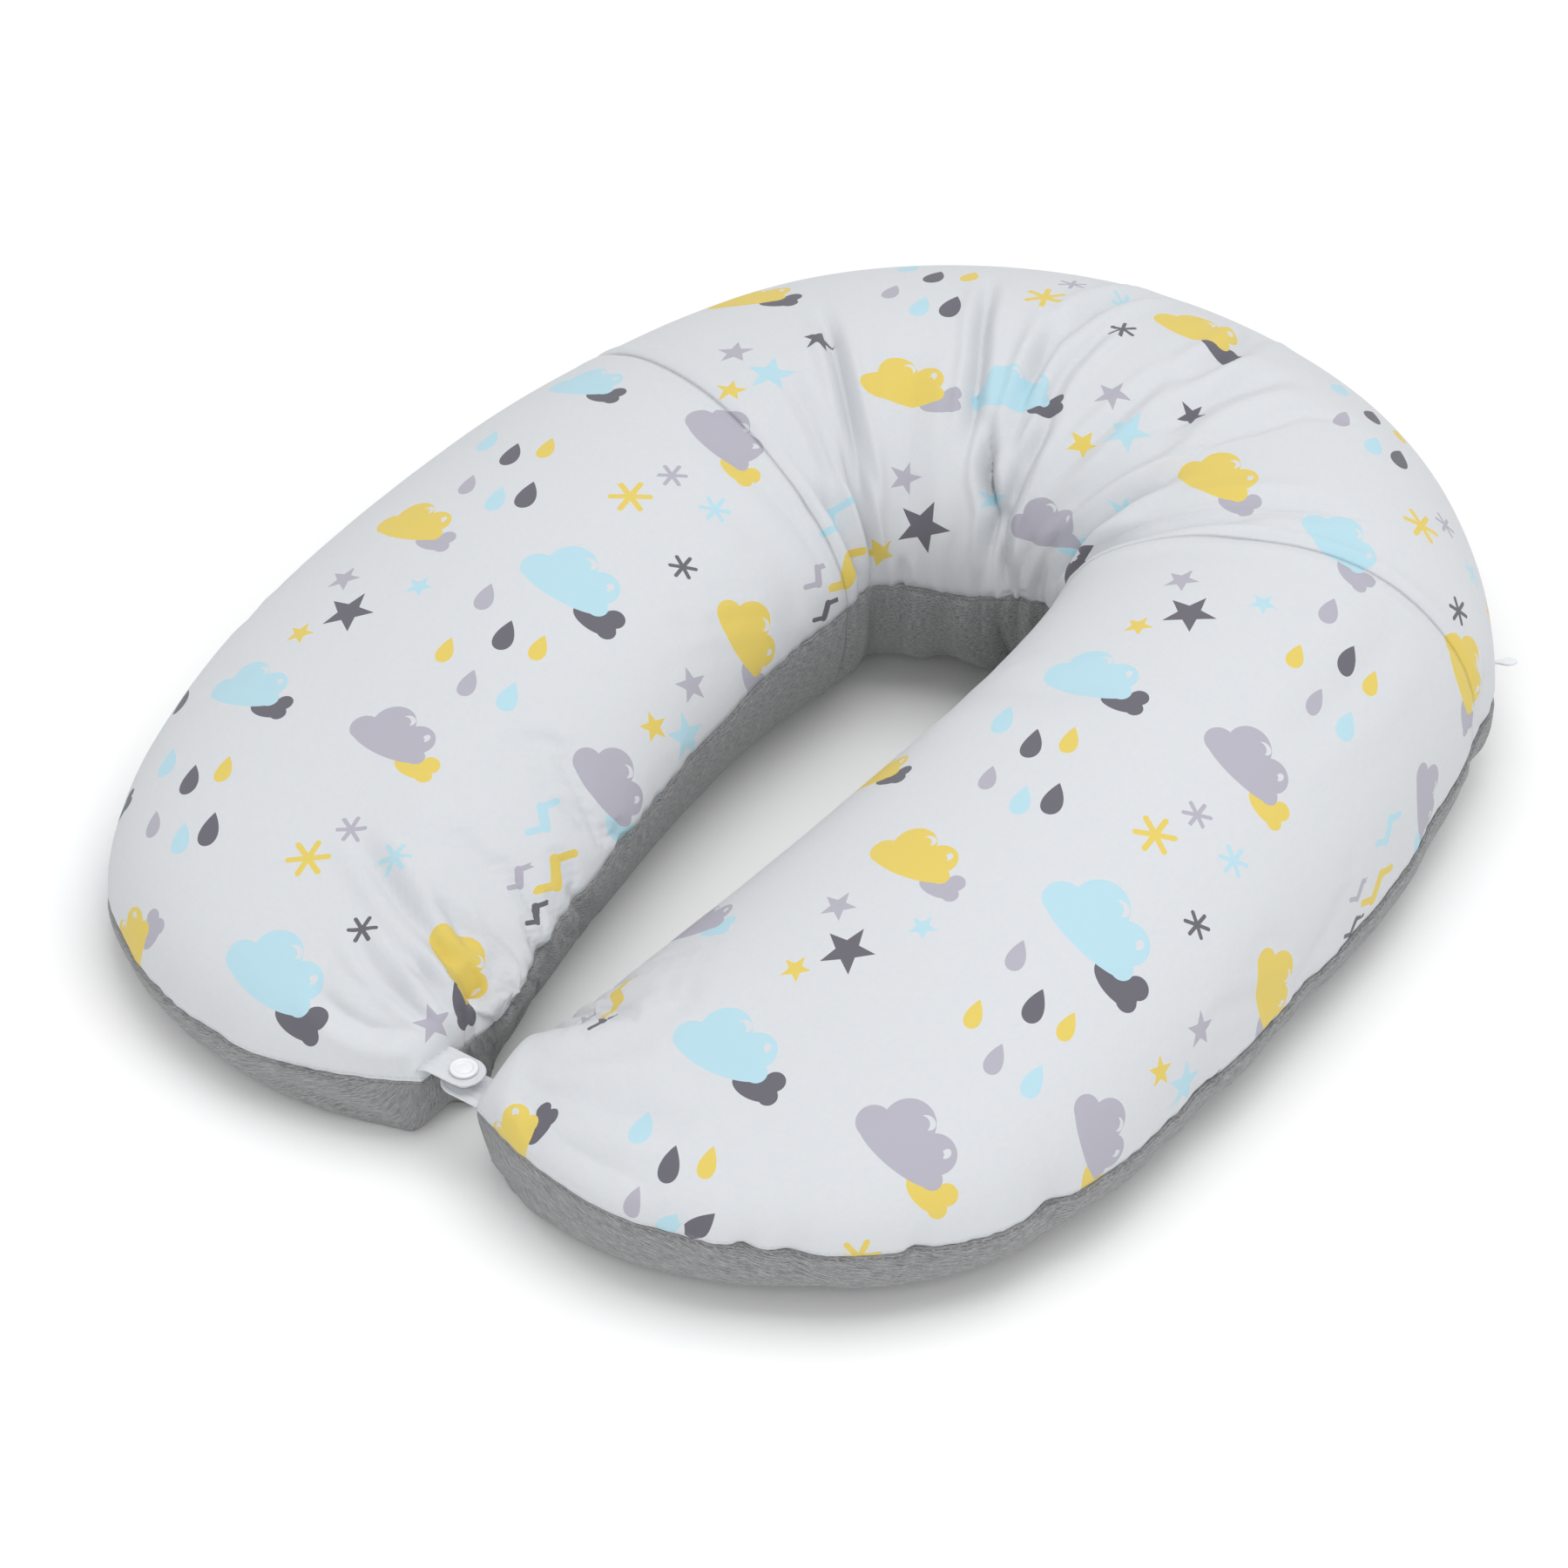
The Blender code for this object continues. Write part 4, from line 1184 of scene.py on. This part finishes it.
def make_studio():
    world = bpy.data.worlds.new("studio")
    world.use_nodes = True
    background = world.node_tree.nodes["Background"]
    background.inputs["Color"].default_value = (0.985, 0.99, 1.0, 1.0)
    background.inputs["Strength"].default_value = 0.72
    bpy.context.scene.world = world
    soft_box("overhead", (0.4, 0.3, 3.0), 2.4, 42.0)
    soft_box("key", (1.6, -2.4, 2.0), 1.6, 20.0)
    points = [(-6.0, -6.0, 0.0), (6.0, -6.0, 0.0), (6.0, 6.0, 0.0), (-6.0, 6.0, 0.0)]
    mesh = bpy.data.meshes.new("floor")
    mesh.from_pydata(points, [], [(0, 1, 2, 3)])
    floor = bpy.data.objects.new("floor", mesh)
    bpy.context.scene.collection.objects.link(floor)
    paint = Nodes("pale_floor")
    paint.set(Base_Color=(0.95, 0.95, 0.95, 1.0), Roughness=0.9)
    mesh.materials.append(paint.material)


bpy.context.scene.view_settings.view_transform = "Standard"
make_camera()
make_studio()
PRINTED = printed_cotton()
JERSEY = melange_jersey()
CASE = plain_cloth("case_cotton", (0.76, 0.76, 0.72), 0.06)
TAPE = plain_cloth("zip_tape", (0.74, 0.75, 0.77), 0.08)
BEADS = bead_foam()
SNAP_WHITE = moulded("snap_plastic", (0.80, 0.81, 0.83), 0.32)
ZIP_WHITE = moulded("zip_plastic", (0.78, 0.79, 0.81), 0.40)
SLIDER_WHITE = moulded("slider_paint", (0.76, 0.77, 0.79), 0.35)

SMOOTH_TOP = ring_grid(True)
SMOOTH_BOTTOM = ring_grid(False)
TOP_NORMALS = grid_normals(SMOOTH_TOP, True)
PRINT = motifs()
DENSE_SMOOTH_TOP = refined(SMOOTH_TOP)


def simulated_ring():
    """Both sides of the ring after inflating."""
    edges = (SMOOTH_TOP[:, 0, :2], SMOOTH_TOP[:, -1, :2])
    pattern = opened(SMOOTH_TOP, edges), opened(SMOOTH_BOTTOM, edges)
    top, bottom = simulate(SMOOTH_TOP, SMOOTH_BOTTOM, *pattern)
    return kept_creases(top, SMOOTH_TOP), kept_creases(bottom, SMOOTH_BOTTOM)


def finished(grid, smooth, creases, upper):
    """One side of the ring at full density, with its creases and its gathered seams."""
    surface = refined(smooth)
    places = refined(ROWS[:, None, None])[:, 0, 0]
    normals = grid_normals(surface, upper)
    folds = (*creases, *inner_gathers())
    moved = pressed(surface, normals, folds, upper) + seam_movement(surface, places)
    return refined(grid) + moved


def zip_gap(grid):
    """How far the cover stands open above the zip, from its full size at the seam to nothing."""
    across = np.linalg.norm(grid - grid[:, :1], axis=2)
    return ZIP_LIP * along_zip(grid) * np.exp(-across / 0.006)


def ring_sides():
    """The finished top and bottom grids, meeting along both seams but for the zip's opening."""
    top, bottom = simulated_ring()
    top = finished(top, SMOOTH_TOP, TOP_CREASES, True)
    bottom = finished(bottom, SMOOTH_BOTTOM, BOTTOM_CREASES, False)
    for edge in (0, -1):
        bottom[:, edge] = top[:, edge]
        bottom[edge] = top[edge]
    bottom[..., 2] = np.maximum(bottom[..., 2], 0.0)
    gap = zip_gap(top)
    top[..., 2] += gap
    bottom[..., 2] -= gap
    return top, bottom


STRETCHES = {
    "left_arm": slice(0, 2 * LEFT_SEAM_ROW + 1),
    "bend": slice(2 * LEFT_SEAM_ROW, 2 * RIGHT_SEAM_ROW + 1),
    "right_arm": slice(2 * RIGHT_SEAM_ROW, None),
}


def make_covers(top, bottom):
    for stretch, rows in STRETCHES.items():
        for side, grid in (("top", top), ("bottom", bottom)):
            piece = cover_panel(f"cover_{stretch}_{side}", rows, grid, side == "top")
            soft_stand_in(piece, stretch, f"{stretch}_{side}_cover")


def inner_grid(finished_grid, upper, inset):
    """A layer under the cover that follows its creases."""
    smooth = SMOOTH_TOP if upper else SMOOTH_BOTTOM
    moved = finished_grid[::2, ::2] - smooth
    depth = np.linalg.norm(moved, axis=2, keepdims=True)
    inside = ring_grid(upper, inset) + moved - 0.6 * depth * grid_normals(smooth, upper)
    inside[..., 2] = np.maximum(inside[..., 2], inset)
    return inside


def coarse_rows(rows):
    stop = None if rows.stop is None else (rows.stop + 1) // 2
    return slice(rows.start // 2, stop)


def make_cases(top, bottom):
    """The cotton inner case of each stretch, in an upper and a lower skin."""
    for side, grid in (("top", top), ("bottom", bottom)):
        layer = inner_grid(grid, side == "top", CASE_INSET)
        for stretch, rows in STRETCHES.items():
            part = layer[coarse_rows(rows)]
            index = np.arange(part.shape[0] * part.shape[1]).reshape(part.shape[:2])
            faces = quads(index, side != "top")
            mesh = smooth_mesh(f"case_{stretch}_{side}", part.reshape(-1, 3), faces)
            piece = link(mesh.name, mesh, CASE)
            thickness(piece, CASE_THICKNESS)
            soft_stand_in(piece, stretch, f"{stretch}_inner_case_{side}")


def closed_index(rows, around):
    """Vertex numbers of rows of points, each row closed on itself."""
    index = np.arange(rows * around).reshape(rows, around)
    return np.concatenate((index, index[:, :1]), axis=1)


def make_fillings(top, bottom):
    """The bead filling of each stretch, a closed body under its case."""
    upper = inner_grid(top, True, FILLING_INSET)
    lower = inner_grid(bottom, False, FILLING_INSET)
    for stretch, rows in STRETCHES.items():
        over, under = upper[coarse_rows(rows)], lower[coarse_rows(rows)]
        loop = np.concatenate((over, under[:, -2:0:-1]), axis=1)
        index = closed_index(*loop.shape[:2])
        faces = quads(index, False).tolist()
        faces += [index[0, :-1].tolist(), index[-1, :-1][::-1].tolist()]
        mesh = bpy.data.meshes.new(f"filling_{stretch}")
        mesh.from_pydata(loop.reshape(-1, 3).tolist(), [], faces)
        mesh.shade_smooth()
        piece = link(mesh.name, mesh, BEADS)
        soft_stand_in(piece, stretch, f"{stretch}_bead_filling")


def tab_half_width(reach):
    """Half the tab's width: straight, then a round tip."""
    straight = TAB_LENGTH - TAB_WIDTH / 2
    past = max(reach - straight, 0.0) / (TAB_WIDTH / 2)
    return TAB_WIDTH / 2 * max(math.sqrt(max(1.0 - past * past, 0.0)), 0.04)


def end_tab(name, root, height, direction):
    """A folded and stitched strip of the printed cloth, puffed a little between its edges."""
    reaches = np.linspace(-TAB_TAIL, TAB_LENGTH, 40)
    across = np.sin(np.linspace(-math.pi / 2, math.pi / 2, 25))
    top = np.zeros((len(reaches), len(across), 3))
    for row, reach in enumerate(reaches):
        half = tab_half_width(reach)
        edge = np.minimum((1.0 - np.abs(across)) * half, TAB_LENGTH - reach)
        puff = TAB_THICKNESS / 2 * np.clip(edge / 0.0015, 0.0, 1.0) ** 0.5
        channel = 0.0004 * np.exp(-(((edge - 0.0028) / 0.0006) ** 2))
        gather = 0.0005 * np.sin(across * 16.0) * max(1.0 - max(reach, 0.0) / 0.012, 0.0)
        sink = -0.004 * (max(-reach, 0.0) / TAB_TAIL) ** 2
        top[row, :, 0] = root + direction * reach
        top[row, :, 1] = TAB_Y + across * half
        top[row, :, 2] = height + puff - channel + gather + sink
    bottom = top.copy()
    base = height - 0.004 * (np.maximum(-reaches, 0.0) / TAB_TAIL) ** 2
    bottom[..., 2] = 2.0 * base[:, None] - top[..., 2]
    top_index, bottom_index = ring_indices(*top.shape[:2])
    upward = direction > 0
    faces = np.concatenate((quads(top_index, upward), quads(bottom_index, not upward)))
    mesh = smooth_mesh(name, welded(top, bottom), faces)
    cloth = np.stack((top[..., 0] * 100.0, top[..., 1] * 100.0, np.full(top.shape[:2], 9.0)), axis=2)
    write_field(mesh, "fabric", "FLOAT_VECTOR", "POINT", welded(cloth, cloth))
    return link(name, mesh, PRINTED)


def make_tabs():
    upper = end_tab("tab_left_end", LEFT_TAB_ROOT, LEFT_TAB_HEIGHT, 1)
    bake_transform(upper)
    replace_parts(upper, "left_end_tab")
    lower = end_tab("tab_right_end", RIGHT_TAB_ROOT, RIGHT_TAB_HEIGHT, -1)
    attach(lower, "right_arm")
    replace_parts(lower, "right_end_tab")


def turned(name, profile, place, material, slot):
    """A piece turned round the vertical through a place, from points of (radius, height)."""
    steps = 72
    turns = np.linspace(0.0, 2.0 * math.pi, steps, endpoint=False)
    points = [
        (place[0] + radius * math.cos(turn), place[1] + radius * math.sin(turn), place[2] + height)
        for radius, height in profile
        for turn in turns
    ]
    mesh = smooth_mesh(name, points, quads(closed_index(len(profile), steps), True))
    return link(name, mesh, material)


def make_snap_cap():
    """Round press-fastener cap: rolled rim, a shallow groove and a low crown in the middle."""
    base = LEFT_TAB_HEIGHT + TAB_THICKNESS / 2
    turns = np.linspace(-1.3, 2.4, 14)
    rim = [(0.0061 + 0.0014 * math.cos(turn), 0.0013 + 0.0011 * math.sin(turn)) for turn in turns]
    dish = ((0.0046, 0.0013), (0.0040, 0.0012), (0.0034, 0.0014), (0.0020, 0.0017), (0.00001, 0.0018))
    profile = [(0.00001, 0.0002), (0.0060, 0.0002), *rim, *dish]
    cap = turned("snap_face", profile, (SNAP_X, TAB_Y, base), SNAP_WHITE, "snap_plastic")
    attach(cap, "tab_flap")
    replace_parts(cap, "snap_cap")


def coil(name, side):
    """One side of the zip's chain: a fine thread wound along the tape's edge."""
    first, last = math.radians(ZIP_OPEN_ANGLE - 0.8), math.radians(ZIP_CLOSED_ANGLE + 0.8)
    reach = BEND_RADIUS - ZIP_CHAIN_INSET
    windings = int((last - first) * reach / COIL_PITCH)
    curve = bpy.data.curves.new(name, "CURVE")
    curve.dimensions = "3D"
    curve.bevel_depth = 0.00026
    curve.bevel_resolution = 0
    curve.use_fill_caps = True
    line = curve.splines.new("POLY")
    line.points.add(windings * 6)
    for step, point in enumerate(line.points):
        angle = first + (last - first) * step / (windings * 6)
        turn = step * math.pi / 3.0
        away = reach + 0.00052 * math.cos(turn)
        x = BEND_CENTRE[0] + away * math.sin(angle)
        y = BEND_CENTRE[1] + away * math.cos(angle)
        point.co = (x, y, BEND_SEAM_HEIGHT + side * 0.0012 + 0.00095 * math.sin(turn), 1.0)
    piece = link(name, curve, ZIP_WHITE)
    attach(piece, "bend")
    return piece


def make_zip():
    for name, side in (("upper", 1.0), ("lower", -1.0)):
        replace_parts(coil(f"chain_{name}", side), f"zip_coil_{name}")


def dress(names, material, bevel=0.0):
    """Gives CAD nodes their material and, where they are moulded, softened edges."""
    for name in names:
        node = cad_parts[name]
        node.data.materials.clear()
        node.data.materials.append(material)
        if bevel:
            rounding = node.modifiers.new("edges", "BEVEL")
            rounding.width = bevel
            rounding.segments = 3
            rounding.limit_method = "ANGLE"
            rounding.harden_normals = False


RING_TOP, RING_BOTTOM = ring_sides()
make_covers(RING_TOP, RING_BOTTOM)
make_cases(RING_TOP, RING_BOTTOM)
make_fillings(RING_TOP, RING_BOTTOM)
make_tabs()
make_snap_cap()
make_zip()
dress(("zip_tape_upper", "zip_tape_lower"), TAPE)
dress(("zip_top_stop_upper", "zip_top_stop_lower", "zip_bottom_stop"), ZIP_WHITE, 0.0003)
dress(("zip_slider",), SLIDER_WHITE, 0.0002)
dress(("zip_pull",), ZIP_WHITE, 0.0004)
dress(("snap_socket", "snap_stud", "snap_back_cap"), SNAP_WHITE)
